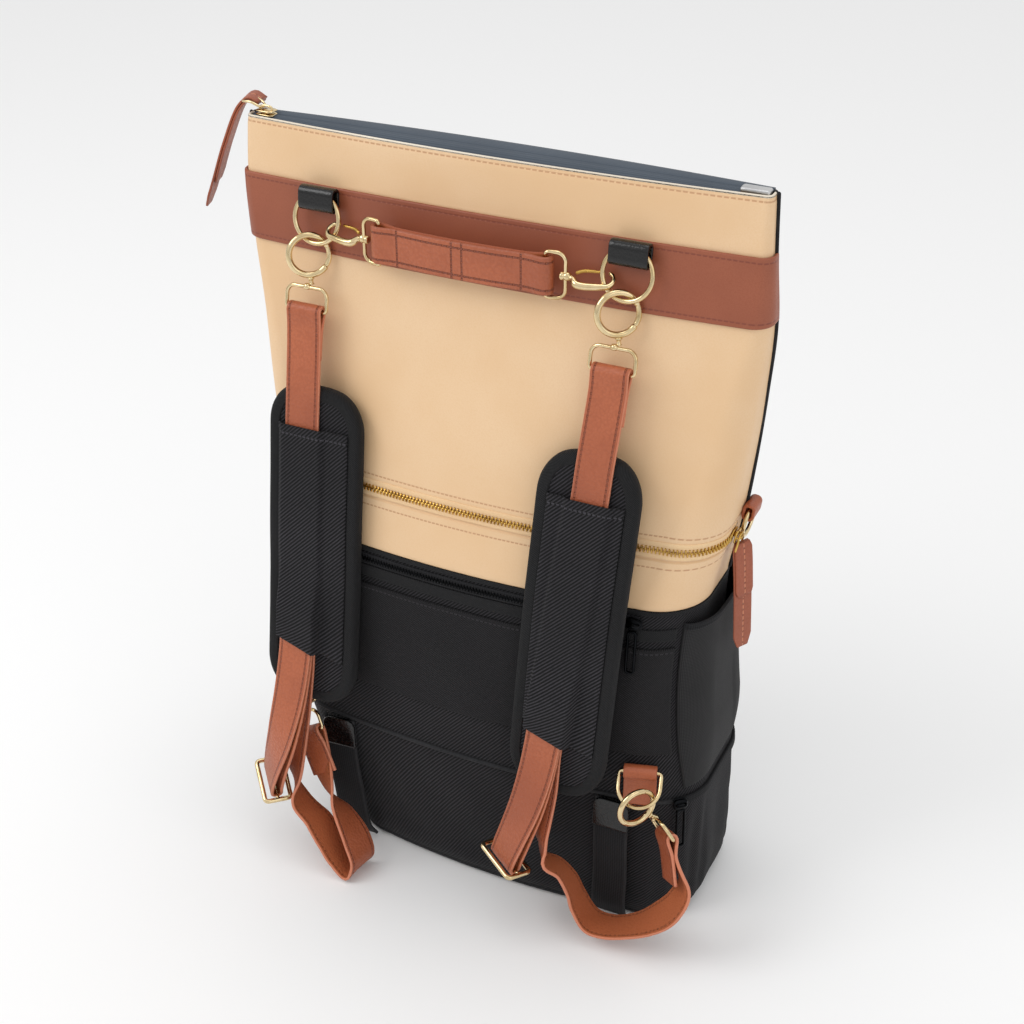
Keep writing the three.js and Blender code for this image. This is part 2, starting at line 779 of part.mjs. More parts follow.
// Black strips below the seam, standing a little off the cloth
const stripRoutes = {
  left: table(
    ["height", "x", "standoff"],
    [
      [1, -0.292, 0.12],
      [0.7, -0.286, 1.3],
      [0.4, -0.272, 2.2],
      [0.15, -0.26, 2.4],
      [0.04, -0.256, 1.6],
    ],
  ),
  right: table(
    ["height", "x", "standoff"],
    [
      [1, 0.303, 0.13],
      [0.7, 0.303, 0.7],
      [0.4, 0.303, 0.7],
      [0.15, 0.303, 0.8],
      [0.04, 0.303, 0.9],
    ],
  ),
};
for (const side of ["left", "right"]) {
  const path = stripRoutes[side].map((row) => {
    const z = row.height * stripTop;
    const x = row.x * topWidth;
    const edges = [-0.5, 0, 0.5].map((share) => frontY(x + share * stripWidth, z));
    return {
      at: point(x, Math.min(...edges) - row.standoff * stripStandoff - stripThickness / 2, z),
      across: point(1, 0, 0),
    };
  });
  add("bottom_strip_" + side, ribbon(path, stripWidth, stripThickness), blackLeather);
}

// Upper rings, spring rings and swivel loops
const upperLean = { left: -7, right: -5 };
const clusters = { left: ringCluster("left", -1), right: ringCluster("right", 1) };
const yawed = (degrees) => {
  const angle = (degrees * Math.PI) / 180;
  return point(Math.cos(angle), Math.sin(angle), 0);
};
const linkDrop = (ringOuter + gateRingOuter) / 2 - ringWire - gateRingWire - 1.5;
const gateYaw = 36;
const across = point(1, 0, 0);
const eyeDrop = gateRingOuter / 2 + postLength + gap;
const bars = {};
for (const side of ["left", "right"]) {
  const { center, tilt, outward } = clusters[side];
  const middle = center
    .clone()
    .add(point(upperLean[side] / 2, 0, 0))
    .addScaledVector(tilt, -linkDrop)
    .addScaledVector(outward, 1.2);
  gateRing("gate_ring_upper_" + side, "gate_upper_" + side, middle, yawed(gateYaw), tilt);
  const eye = middle.clone().addScaledVector(tilt, -eyeDrop);
  swivelLoop("swivel_loop_upper_" + side, eye, across, tilt);
  bars["upper_" + side] = eye.clone().addScaledVector(tilt, -loopHeight);
}

// Shoulder pads, as centre lines in shares of the bag's height and width
const padRoutes = {
  left: table(
    ["share", "height", "x", "standoff"],
    [
      [0, 0.694, -0.31, 5],
      [0.3, 0.566, -0.31, 4.5],
      [0.7, 0.39, -0.314, 6],
      [1, 0.257, -0.318, 16],
    ],
  ),
  right: table(
    ["share", "height", "x", "standoff"],
    [
      [0, 0.691, 0.24, 6],
      [0.3, 0.549, 0.229, 4.5],
      [0.7, 0.36, 0.213, 5],
      [1, 0.218, 0.201, 10],
    ],
  ),
};
function padCenter(side, share) {
  const row = readTable(padRoutes[side], "share", share);
  const z = row.height * bagHeight;
  const x = row.x * topWidth;
  const edges = [-0.5, -0.25, 0, 0.25, 0.5].map((part) => frontY(x + part * padWidth, z));
  return point(x, Math.min(...edges) - row.standoff - padThickness / 2, z);
}
function padPoint(side, share, u, n) {
  const along = padCenter(side, share + 0.04).sub(padCenter(side, share - 0.04));
  along.x = 0;
  const normal = along.normalize().cross(across);
  return padCenter(side, share).add(point(u, 0, 0)).addScaledVector(normal, n);
}
const padEnd = 0.12;
const padMiddle = [padEnd, 0.24, 0.36, 0.48, 0.6, 0.72, 0.82, 1 - padEnd];
const padShares = [0, 0.012, 0.045, ...padMiddle, 0.955, 0.988, 1];
const padHalf = (share) => {
  const inEnd = Math.min(1, Math.min(share, 1 - share) / padEnd);
  return (padWidth / 2) * (0.3 + 0.7 * Math.sqrt(1 - (1 - inEnd) ** 2));
};
for (const side of ["left", "right"]) {
  const rings = padShares.map((share) => {
    const half = padHalf(share);
    const thick = padThickness / 2;
    const shape = [
      [-1, -0.4],
      [-0.93, -1],
      [0.93, -1],
      [1, -0.4],
      [1, 0.4],
      [0.93, 1],
      [-0.93, 1],
      [-1, 0.4],
    ];
    return shape.map(([u, n]) => padPoint(side, share, u * half, n * thick));
  });
  add("pad_" + side, skin(rings), blackTwill);
}

// A sleeve on each pad, with room for the strap: one layer at its top and three at its foot
const strapOffsets = {
  left: table(["share", "offset"], [[0, -8], [1, -8]]),
  right: table(["share", "offset"], [[0, 3], [0.1, 3], [0.85, -8], [1, -8]]),
};
const offsetAt = (side, share) => readTable(strapOffsets[side], "share", share).offset;
const padFace = padThickness / 2;
const firstLayer = padFace + gap + strapThickness / 2;
const layerRise = table(["share", "layers"], [[0, 0], [0.6, 0], [0.72, 2], [1, 2]]);
const layersAt = (share) => readTable(layerRise, "share", share).layers;
const sleeveTop = padEnd;
const sleeveFoot = 0.82;
const sleeveSlant = 0.035;
const sleeveShares = padMiddle.filter((share) => share <= sleeveFoot);
for (const side of ["left", "right"]) {
  const rings = sleeveShares.map((share) => {
    const part = (share - sleeveTop) / (sleeveFoot - sleeveTop);
    const offset = offsetAt(side, share);
    const roof = firstLayer + strapThickness / 2 + layersAt(share + 0.02) * layerStep + 0.5;
    const low = padFace + 2 * gap;
    const half = sleeveWidth / 2;
    const inner = [
      [-half, low],
      [offset - 17, low],
      [offset - 14, roof],
      [offset + 14, roof],
      [offset + 17.5, low],
      [half, low],
    ];
    const outer = [
      [half, low + sleeveWall],
      [offset + 18.2, low + sleeveWall],
      [offset + 14.7, roof + sleeveWall],
      [offset - 14.7, roof + sleeveWall],
      [offset - 17.7, low + sleeveWall],
      [-half, low + sleeveWall],
    ];
    return [...inner, ...outer].map(([u, n]) =>
      padPoint(side, share + (sleeveSlant * part ** 6 * u) / half, u, n),
    );
  });
  add("pad_sleeve_" + side, skin(rings), blackKnit);
}

// Buckles: a slider with two slots, in shares of width, depth and height, and its axes
const buckleRows = {
  left: { at: [-0.403, -0.71, 0.111], along: [-0.29, 0.29, -0.91], wide: [0.62, -0.67, -0.41] },
  right: { at: [0.128, -0.754, 0.115], along: [-0.25, -0.05, -0.97], wide: [0.84, -0.51, -0.2] },
};
const inBag = ([x, y, z]) => point(x * topWidth, y * baseDepth, z * bagHeight);
const frames = {};
for (const side of ["left", "right"]) {
  const row = buckleRows[side];
  const along = point(...row.along).normalize();
  const wide = point(...row.wide);
  wide.addScaledVector(along, -wide.dot(along)).normalize();
  const normal = along.clone().cross(wide);
  const slotWidth = strapWidth + 2;
  const outerWidth = slotWidth + 4 * buckleWire;
  const plate = roundedRect(outerWidth, 3 * buckleWire + 2 * buckleSlot, 2.6);
  for (const sign of [-1, 1]) {
    const slot = new THREE.Path();
    const shape = roundedRect(slotWidth, buckleSlot, 1.2);
    slot.setFromPoints(
      shape.getPoints(2).map((p) => p.setY(p.y + (sign * (buckleWire + buckleSlot)) / 2)),
    );
    plate.holes.push(slot);
  }
  const center = inBag(row.at);
  const mesh = add("buckle_" + side, extrudeFlat(plate, buckleWire), paleGold);
  pose(mesh, center, wide, normal);
  frames[side] = { center, along, wide, normal };
}

// A fold round a bar: the tail, the turn and the start of the long layer
const layerHalf = (strapThickness + 0.4) / 2;
function foldOver(bar, away, back, tailLength, wire) {
  const radius = wire / 2 + 0.7 + strapThickness / 2;
  const spot = (a, b) => bar.clone().addScaledVector(away, a).addScaledVector(back, b);
  const turn = [0, 45, 90, 135, 180].map((degrees) => {
    const angle = (degrees * Math.PI) / 180;
    return spot(-radius * Math.sin(angle), radius * Math.cos(angle));
  });
  return [spot(tailLength, layerHalf), spot(11, layerHalf), ...turn, spot(11, -layerHalf)];
}

// Upper straps: over the loop's bar, down through the sleeve, round the buckle and back up
for (const side of ["left", "right"]) {
  const bar = bars["upper_" + side];
  const onPad = (share, layers) =>
    padPoint(side, share, offsetAt(side, share), firstLayer + layers * layerStep);
  const start = onPad(0.02, 0);
  const away = start.clone().sub(bar);
  away.x *= 0.4;
  away.normalize();
  const back = across.clone().cross(away);
  const { center, along, wide, normal } = frames[side];
  const reach = buckleWire / 2 + 1 + strapThickness / 2;
  const down = [0.02, ...padMiddle.filter((share) => share <= sleeveFoot)].map((share) => ({
    at: onPad(share, layersAt(share)),
    across: point(1, 0, 0),
  }));
  const exit = onPad(sleeveFoot, 0);
  const exitAlong = onPad(0.86, 0).sub(onPad(0.78, 0)).normalize();
  const span = exit.distanceTo(center);
  const between = (part, exitLayers, buckleOffset) => {
    const ease = part * part * (3 - 2 * part);
    const from = onPad(sleeveFoot, exitLayers).addScaledVector(exitAlong, span * part);
    const to = center
      .clone()
      .addScaledVector(normal, buckleOffset)
      .addScaledVector(along, -span * (1 - part));
    const at = from.lerp(to, ease).add(point(0, -strapBow * Math.sin(Math.PI * part), 0));
    return { at, across: point(1, 0, 0).lerp(wide, ease) };
  };
  const path = [
    ...foldOver(bar, away, back, foldLength, loopWire).map((at) => ({ at, across: point(1, 0, 0) })),
    ...down,
    between(0.25, 2, reach),
    between(0.5, 2, reach),
    between(0.75, 2, reach),
    between(0.93, 2, reach),
    ...[30, 65, 90, 115, 150].map((degrees) => {
      const angle = (degrees * Math.PI) / 180;
      const at = center
        .clone()
        .addScaledVector(normal, reach * Math.cos(angle))
        .addScaledVector(along, reach * Math.sin(angle));
      return { at, across: wide };
    }),
    between(0.93, 1, -reach),
    between(0.75, 1, -reach),
    between(0.5, 1, -reach),
    between(0.25, 1, -reach),
    { at: onPad(sleeveFoot, 1), across: point(1, 0, 0) },
    { at: onPad(returnShare, 1), across: point(1, 0, 0) },
  ];
  add("strap_upper_" + side, ribbon(path, strapWidth, strapThickness), cognacLeather);
}

// Leather tabs below the panel, each with a D ring, a spring ring and a swivel loop
const tabOn = (width, depth, height, tail) =>
  foldedTab(width, depth, height, tail).rotateX(-Math.PI / 2);
const dRows = {
  left: {
    place: frontEnd + 1,
    raise: 22,
    lift: 2 * gap + panelThickness,
    tilt: 20,
    ring: [0, -9, -28],
    yaw: 22,
    post: -90,
    loop: [0.5, -0.3, -0.8],
    bar: [0.82, -0.1, 0.56],
  },
  right: {
    place: frontStart - 0.6,
    raise: 0,
    lift: gap,
    tilt: 48,
    ring: [5, -18, -15],
    yaw: 54,
    post: -45,
    loop: [0.6, 0, -0.8],
    bar: [0.586, -0.684, 0.44],
  },
};
const lowerLoops = {};
for (const side of ["left", "right"]) {
  const row = dRows[side];
  const depth = dRingWire + 2 * tabWall + 1.8;
  const loopSize = dRingWire + 2 * tabWall + 3;
  const barZ = lowerTop + dTabHeight - 8 + row.raise;
  const frame = frameOn(row.place, barZ, row.lift);
  const tab = tabOn(dTabWidth, depth, loopSize, dTabHeight - loopSize);
  add("d_tab_" + side, tab, cognacLeather).applyMatrix4(frame);
  const half = (dRingWidth - dRingWire) / 2;
  const drop = dRingHeight - dRingWire - half;
  const shape = [
    ...arcPoints(-half + 2, -2, 2, 180, 90, 2),
    ...arcPoints(half - 2, -2, 2, 90, 0, 2),
    ...arcPoints(0, -drop, half, 0, -180, 8),
  ];
  const lift = tabWall + dRingWire / 2 + 0.9;
  const dRing = flatWire(shape, dRingWire, true);
  dRing.rotateX((-row.tilt * Math.PI) / 180).translate(0, 0, lift);
  add("d_ring_" + side, dRing, paleGold).applyMatrix4(frame);
  const bar = point(0, 0, lift).applyMatrix4(frame);
  const center = bar.add(point(...row.ring));
  const sideways = yawed(row.yaw);
  const angle = (row.post * Math.PI) / 180;
  const post = sideways
    .clone()
    .multiplyScalar(Math.cos(angle))
    .add(point(0, 0, Math.sin(angle)));
  const normal = sideways.clone().cross(point(0, 0, 1));
  const yAxis = post.clone().negate();
  const xAxis = yAxis.clone().cross(normal);
  gateRing("gate_ring_lower_" + side, "gate_lower_" + side, center, xAxis, yAxis);
  const hang = point(...row.loop).normalize();
  const turned = post.clone().cross(hang).length();
  const eye = center
    .clone()
    .addScaledVector(post, eyeDrop + (eyeRadius + gap) * turned)
    .addScaledVector(hang, (-eyeHeight / 2) * turned);
  const barAxis = point(...row.bar);
  barAxis.addScaledVector(hang, -barAxis.dot(hang)).normalize();
  swivelLoop("swivel_loop_lower_" + side, eye, barAxis, hang.clone().negate());
  lowerLoops[side] = { bar: eye.clone().addScaledVector(hang, loopHeight), barAxis };
}

// Lower straps: from inside the sleeve, behind the buckle and along a free curve to the loop
const freeRoutes = {
  left: {
    away: [0.44, -0.24, -0.87],
    rows: table(
      ["x", "y", "z", "acrossX", "acrossY", "acrossZ"],
      [
        [-0.343, -0.6675, 0.252, 1, -0.03, 0],
        [-0.353, -0.696, 0.136, 0.75, -0.6, -0.25],
        [-0.336, -0.732, 0.096, 0.1, -0.93, 0.2],
        [-0.294, -0.746, 0.072, -0.32, -0.89, 0.33],
        [-0.267, -0.754, 0.046, -0.3, -0.9, 0.28],
        [-0.244, -0.761, 0.022, -0.2, -0.95, 0.2],
        [-0.215, -0.761, 0.006, -0.07, -1, 0],
        [-0.196, -0.746, 0.025, -0.2, -0.95, 0.15],
        [-0.212, -0.717, 0.051, -0.35, -0.9, 0.25],
        [-0.245, -0.69, 0.082, 0, -0.95, 0.3],
        [-0.283, -0.655, 0.108, 0.6, -0.6, 0.4],
      ],
    ),
  },
  right: {
    away: [0.3, -0.35, -0.85],
    rows: table(
      ["x", "y", "z", "acrossX", "acrossY", "acrossZ"],
      [
        [0.1844, -0.6536, 0.23, 1, -0.1, 0],
        [0.185, -0.696, 0.17, 0.85, -0.5, -0.1],
        [0.196, -0.703, 0.138, 0.55, -0.82, 0.15],
        [0.203, -0.725, 0.125, 0.42, -0.88, 0.22],
        [0.228, -0.696, 0.111, 0.3, -0.93, 0.2],
        [0.25, -0.667, 0.083, 0.15, -0.98, 0.1],
        [0.264, -0.652, 0.053, 0.05, -1, 0],
        [0.292, -0.652, 0.026, 0, -1, 0],
        [0.328, -0.652, 0.025, 0, -1, 0],
        [0.375, -0.652, 0.04, 0.2, -0.97, 0],
        [0.419, -0.652, 0.064, 0.5, -0.85, 0],
        [0.458, -0.652, 0.098, 0.6, -0.78, 0],
        [0.468, -0.6, 0.125, 0.55, -0.8, 0.1],
      ],
    ),
  },
};
for (const side of ["left", "right"]) {
  const route = freeRoutes[side];
  const onPad = (share) => padPoint(side, share, offsetAt(side, share), firstLayer);
  const { bar, barAxis } = lowerLoops[side];
  const away = point(...route.away);
  away.addScaledVector(barAxis, -away.dot(barAxis)).normalize();
  const back = away.clone().cross(barAxis);
  const fold = foldOver(bar, away, back, foldLength, loopWire).map((at) => ({ at, across: barAxis }));
  const path = [
    ...[returnShare, sleeveFoot, 1 - padEnd].map((share) => ({ at: onPad(share), across: point(1, 0, 0) })),
    ...route.rows.map((row) => ({
      at: inBag([row.x, row.y, row.z]),
      across: point(row.acrossX, row.acrossY, row.acrossZ),
    })),
    ...fold.reverse(),
  ];
  add("strap_lower_" + side, ribbon(path, strapWidth, strapThickness), cognacLeather);
}

// Snap hooks on the upper rings: a loop, a hook and a lever that closes its mouth
const hookTilt = 35;
const holdAngle = (20 * Math.PI) / 180;
const leverStart = 7;
const handleBars = {};
for (const side of ["left", "right"]) {
  const sign = side === "left" ? -1 : 1;
  const { center, tilt } = clusters[side];
  const ringRadius = (ringOuter - ringWire) / 2;
  const held = center
    .clone()
    .add(point(-sign * ringRadius * Math.cos(holdAngle), 0, 0))
    .addScaledVector(tilt, -ringRadius * Math.sin(holdAngle));
  const nose = point(sign, 0.2, 0).normalize();
  const inner = hookGape / 2 + hookWire / 2;
  const tip = hookLength - hookWire / 2;
  const eye = held.clone().addScaledVector(nose, -(tip - hookWire / 2 - ringWire / 2 - 3.3));
  const body = [
    new THREE.Vector2(1.5, 0),
    new THREE.Vector2(4.5, 1.2),
    new THREE.Vector2(leverStart + 1, inner),
    ...arcPoints(tip - inner, 0, inner, 90, -60, 5),
  ];
  const spin = (geometry) => geometry.rotateY((sign * hookTilt * Math.PI) / 180);
  const hook = spin(flatWire(body, hookWire, false).rotateX(Math.PI / 2).rotateZ(Math.PI / 2));
  const neck = new THREE.CylinderGeometry(2.4, 2.4, 4.4, 8).translate(0, 1.6, 0);
  const shape = join(loopGeometry(hookLoop), neck, hook);
  const barAxis = point(0, 0, -sign);
  pose(add("snap_hook_" + side, shape, paleGold), eye, barAxis, nose);
  const mouth = arcPoints(tip - inner, 0, inner, -60, -60, 1)[0];
  const start = new THREE.Vector2(leverStart, -inner * 0.6);
  const lever = [
    new THREE.Vector2(0, 0),
    new THREE.Vector2(4, -inner * 0.3),
    new THREE.Vector2(mouth.x - start.x - 5.2, -inner * 0.35),
  ];
  const leverShape = spin(flatWire(lever, hookWire - 1, false).rotateX(Math.PI / 2).rotateZ(Math.PI / 2));
  const leverMesh = pose(add("snap_lever_" + side, leverShape, paleGold), eye, barAxis, nose);
  const offset = new THREE.BoxGeometry(0.01, 0.01, 0.01).translate(start.x, start.y, 0);
  spin(offset.rotateX(Math.PI / 2).rotateZ(Math.PI / 2)).computeBoundingBox();
  const hinge = offset.boundingBox.getCenter(point(0, 0, 0));
  leverMesh.translateX(hinge.x);
  leverMesh.translateY(hinge.y);
  leverMesh.translateZ(hinge.z);
  handleBars[side] = eye.clone().addScaledVector(nose, -hookLoop);
}

// Handle: two layers folded round the bars of both hooks
const handleSpan = handleBars.right.clone().sub(handleBars.left);
const handleAlong = handleSpan.clone().normalize();
const handleOut = handleAlong.clone().cross(point(0, 0, 1)).normalize();
const handlePoint = (share, out) =>
  handleBars.left
    .clone()
    .addScaledVector(handleSpan, share)
    .addScaledVector(handleOut, out + handleBow * Math.sin(Math.PI * share));
const handleHalf = (handleThickness + 0.4) / 2;
const handleTurn = loopWire / 2 + 1.2 + handleThickness / 2;
const turnAt = (bar, sign) =>
  [-75, -25, 25, 75].map((degrees) => {
    const angle = (degrees * Math.PI) / 180;
    return bar
      .clone()
      .addScaledVector(handleAlong, sign * handleTurn * Math.cos(angle))
      .addScaledVector(handleOut, -sign * handleTurn * Math.sin(angle));
  });
const layerShares = [0.1, 0.3, 0.5, 0.7, 0.9];
add(
  "handle",
  ribbon(
    [
      ...layerShares.map((share) => handlePoint(share, handleHalf)),
      ...turnAt(handleBars.right, 1),
      ...[...layerShares].reverse().map((share) => handlePoint(share, -handleHalf)),
      ...turnAt(handleBars.left, -1),
    ].map((at) => ({ at, across: point(0, 0, 1) })),
    handleWidth,
    handleThickness,
    true,
  ),
  cognacLeather,
);

// Side tabs at the seams, each with a plain ring that hangs down the side
for (const side of ["left", "right"]) {
  const place = side === "left" ? leftSeam : 0;
  const rise = arcRise(sideRingOuter, dRingWire, sideTabWidth / 2);
  const height = rise + dRingWire + 2 * tabWall + 2;
  const depth = dRingWire + 2 * tabWall + 1.6;
  const frame = frameOn(place, middleTop + 0.2 * upperHeight, gap);
  add("side_tab_" + side, tabOn(sideTabWidth, depth, height, 0), cognacLeather).applyMatrix4(frame);
  const lift = tabWall + dRingWire / 2 + 0.8;
  const drop = height / 2 - tabWall - 1 - sideRingOuter / 2;
  const sideRing = ring(sideRingOuter, dRingWire).translate(0, drop, lift);
  add("side_ring_" + side, sideRing, paleGold).applyMatrix4(frame);
}

export default bag;
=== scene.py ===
"""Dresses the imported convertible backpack. Points are in millimetres until a mesh is made."""
import math

import bpy
import numpy as np
from mathutils import Matrix, Vector


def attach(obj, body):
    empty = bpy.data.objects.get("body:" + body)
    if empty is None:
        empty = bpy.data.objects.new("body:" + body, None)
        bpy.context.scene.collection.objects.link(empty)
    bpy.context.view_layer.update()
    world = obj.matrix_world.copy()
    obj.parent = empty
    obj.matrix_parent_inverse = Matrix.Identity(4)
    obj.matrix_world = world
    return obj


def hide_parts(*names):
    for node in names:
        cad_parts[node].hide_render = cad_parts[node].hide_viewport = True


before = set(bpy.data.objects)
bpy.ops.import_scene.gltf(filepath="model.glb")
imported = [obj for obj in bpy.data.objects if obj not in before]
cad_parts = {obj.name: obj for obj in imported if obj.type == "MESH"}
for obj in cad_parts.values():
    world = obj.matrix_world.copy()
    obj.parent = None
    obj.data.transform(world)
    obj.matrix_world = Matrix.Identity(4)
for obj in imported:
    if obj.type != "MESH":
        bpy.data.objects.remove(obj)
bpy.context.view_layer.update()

# Sizes of the bag, as in the solids
TOP_WIDTH = 360
BASE_DEPTH = 138
LOWER_TOP = 108
MIDDLE_TOP = 258
BAG_HEIGHT = 530
CLOTH_WALL = 3
LEATHER_WALL = 2
GAP = 0.35
BAND_TOP = 494
BAND_BOTTOM = 451
GOLD_ZIP_Z = 302
BLACK_ZIP_Z = 250
PANEL_TOP = 231
PANEL_LOW = 147
PANEL_THICKNESS = 1.6
STRAP_WIDTH = 25
STRAP_THICKNESS = 2.4
PAD_WIDTH = 69
PAD_THICKNESS = 8
LAYER_STEP = 2.75
WIRE_SIDES = 14
TAB_LEATHER = 2
ROUND_RING = 35
ROUND_WIRE = 3.2
SPRING_RING = 30
SPRING_WIRE = 4.2
LOOP_WIRE = 2.6
D_WIDTH = 31
D_HEIGHT = 27
THIN_WIRE = 2.8
SIDE_RING = 25

X_AXIS = np.array([1.0, 0, 0])
Z_AXIS = np.array([0, 0, 1.0])

# The bag's plan by height, in shares of its height, width and depth
SECTIONS = np.array([
    [0, -0.289, 0.428, -0.406, 0.391, 0.246, 0.051],
    [0.015, -0.306, 0.444, -0.435, 0.428, 0.275, 0.058],
    [0.057, -0.336, 0.453, -0.442, 0.435, 0.29, 0.058],
    [0.114, -0.372, 0.453, -0.449, 0.442, 0.29, 0.058],
    [0.204, -0.417, 0.45, -0.449, 0.442, 0.29, 0.058],
    [0.283, -0.425, 0.43, -0.449, 0.435, 0.29, 0.058],
    [0.377, -0.428, 0.422, -0.442, 0.413, 0.29, 0.058],
    [0.487, -0.433, 0.428, -0.406, 0.37, 0.275, 0.072],
    [0.566, -0.447, 0.45, -0.355, 0.312, 0.239, 0.08],
    [0.66, -0.464, 0.469, -0.29, 0.239, 0.196, 0.087],
    [0.755, -0.478, 0.483, -0.221, 0.159, 0.145, 0.072],
    [0.849, -0.493, 0.493, -0.162, 0.065, 0.087, 0.051],
    [0.925, -0.5, 0.486, -0.123, 0.011, 0.051, 0.036],
    [1, -0.494, 0.481, -0.101, 0, 0.036, 0.051],
])
SCALES = np.array([BAG_HEIGHT, TOP_WIDTH, TOP_WIDTH, BASE_DEPTH, BASE_DEPTH, BASE_DEPTH, BASE_DEPTH])
FRONT_START = 5
FRONT_END = 13
LEFT_SEAM = 18
PLACES = 32


def unit(v):
    return v / np.maximum(np.linalg.norm(v, axis=-1, keepdims=True), 1e-9)


def vec(*values):
    return np.array(values, float)


def run_lengths(points):
    """How far along a path each of its points lies."""
    return np.concatenate([[0], np.cumsum(np.linalg.norm(np.diff(points, axis=0), axis=1))])


def spline(knots, values, at):
    """A smooth curve through values at knots, read at many places."""
    knots = np.asarray(knots, float)
    values = np.asarray(values, float).reshape(len(knots), -1)
    slopes = np.gradient(values, knots, axis=0)
    at = np.clip(np.asarray(at, float), knots[0], knots[-1])
    i = np.clip(np.searchsorted(knots, at, side="right") - 1, 0, len(knots) - 2)
    h = (knots[i + 1] - knots[i])[:, None]
    t = (at - knots[i])[:, None] / h
    a = (2 * t**3 - 3 * t**2 + 1) * values[i] + (t**3 - 2 * t**2 + t) * h * slopes[i]
    b = (3 * t**2 - 2 * t**3) * values[i + 1] + (t**3 - t**2) * h * slopes[i + 1]
    return a + b


def soft_relief(place, z):
    """Small waves in the cloth of the lower body, none at its seams."""
    low = np.clip(z / 30, 0, 1) * np.clip((104 - z) / 22, 0, 1)
    mid = np.clip((z - 114) / 20, 0, 1) * np.clip((240 - z) / 24, 0, 1)
    waves = np.sin(place * 1.7 + z * 0.031) + 0.6 * np.sin(place * 3.1 - z * 0.052 + 1.0)
    folds = np.sin(place * 7.5 + z * 0.02) * np.exp(-(((np.mod(place + 16, PLACES) - 17.5) / 3.2) ** 2))
    return low * (0.7 * waves + 0.7 * folds) + mid * 0.45 * waves


def bag_point(place, z, out=0.0):
    """Points on the bag at places along its outline, moved out from its surface."""
    place, z, out = np.broadcast_arrays(np.asarray(place, float) % PLACES, np.asarray(z, float), out)
    shape = place.shape
    place, z, out = place.ravel(), z.ravel(), np.asarray(out, float).ravel()
    s = spline(SECTIONS[:, 0] * BAG_HEIGHT, SECTIONS[:, 1:] * SCALES[1:], z)
    left, right, front, back, corner, crown = s.T
    out = out + soft_relief(place, z)
    radius = corner + out
    x0, x1 = left + corner, right - corner
    y0, y1 = front + corner, back - corner
    t_front = (place - FRONT_START) / 8
    t_back = (place - 22) / 6
    bulge_front = crown * (1 - (2 * t_front - 1) ** 2)
    bulge_back = crown * (1 - (2 * t_back - 1) ** 2)
    turn = np.radians(22.5)
    parts = [
        (place < 1, x1 + radius, y1 + (y0 - y1) * place),
        (place < 5, x1 + radius * np.cos(turn * (place - 1)), y0 - radius * np.sin(turn * (place - 1))),
        (place < 13, x1 + (x0 - x1) * t_front, front - out - bulge_front),
        (place < 17, x0 - radius * np.sin(turn * (place - 13)), y0 - radius * np.cos(turn * (place - 13))),
        (place < 18, x0 - radius, y0 + (y1 - y0) * (place - 17)),
        (place < 22, x0 - radius * np.cos(turn * (place - 18)), y1 + radius * np.sin(turn * (place - 18))),
        (place < 28, x0 + (x1 - x0) * t_back, back + out + bulge_back),
        (place <= 32, x1 + radius * np.sin(turn * (place - 28)), y1 + radius * np.cos(turn * (place - 28))),
    ]
    x = np.select([p[0] for p in parts], [p[1] for p in parts])
    y = np.select([p[0] for p in parts], [p[2] for p in parts])
    return np.stack([x, y, z], -1).reshape(shape + (3,))


def section_values(z):
    return spline(SECTIONS[:, 0] * BAG_HEIGHT, SECTIONS[:, 1:] * SCALES[1:], [z])[0]


def place_at_x(x, z):
    left, right, _, _, corner, _ = section_values(z)
    return FRONT_START + 8 * (right - corner - x) / (right - left - 2 * corner)


def front_y(x, z):
    left, right, front, _, corner, _ = section_values(z)
    place = place_at_x(x, z)
    if FRONT_START <= place <= FRONT_END:
        return float(bag_point(place, z)[1])
    corner_x = right - corner if place < FRONT_START else left + corner
    across = min(abs(x - corner_x), corner)
    return front + corner - math.sqrt(corner**2 - across**2)


# Meshes
def mesh_object(name, points, faces, corner_uv=None, tones=None):
    """An object of points in millimetres. corner_uv is one pair per face corner, in millimetres."""
    mesh = bpy.data.meshes.new(name)
    mesh.from_pydata((np.asarray(points) * 0.001).tolist(), [], faces)
    if corner_uv is not None:
        layer = mesh.uv_layers.new(name="UVMap")
        layer.data.foreach_set("uv", (np.asarray(corner_uv, np.float32) * 0.001).ravel())
    if tones is not None:
        tone = mesh.attributes.new("tone", "FLOAT", "POINT")
        tone.data.foreach_set("value", np.asarray(tones, np.float32).ravel())
    mesh.polygons.foreach_set("use_smooth", [True] * len(mesh.polygons))
    mesh.update()
    thing = bpy.data.objects.new(name, mesh)
    bpy.context.scene.collection.objects.link(thing)
    return thing


def signed_volume(points, faces):
    tri = np.array([[f[0], f[i], f[i + 1]] for f in faces for i in range(1, len(f) - 1)])
    a, b, c = points[tri[:, 0]], points[tri[:, 1]], points[tri[:, 2]]
    return float(np.einsum("ij,ij->i", a, np.cross(b, c)).sum())


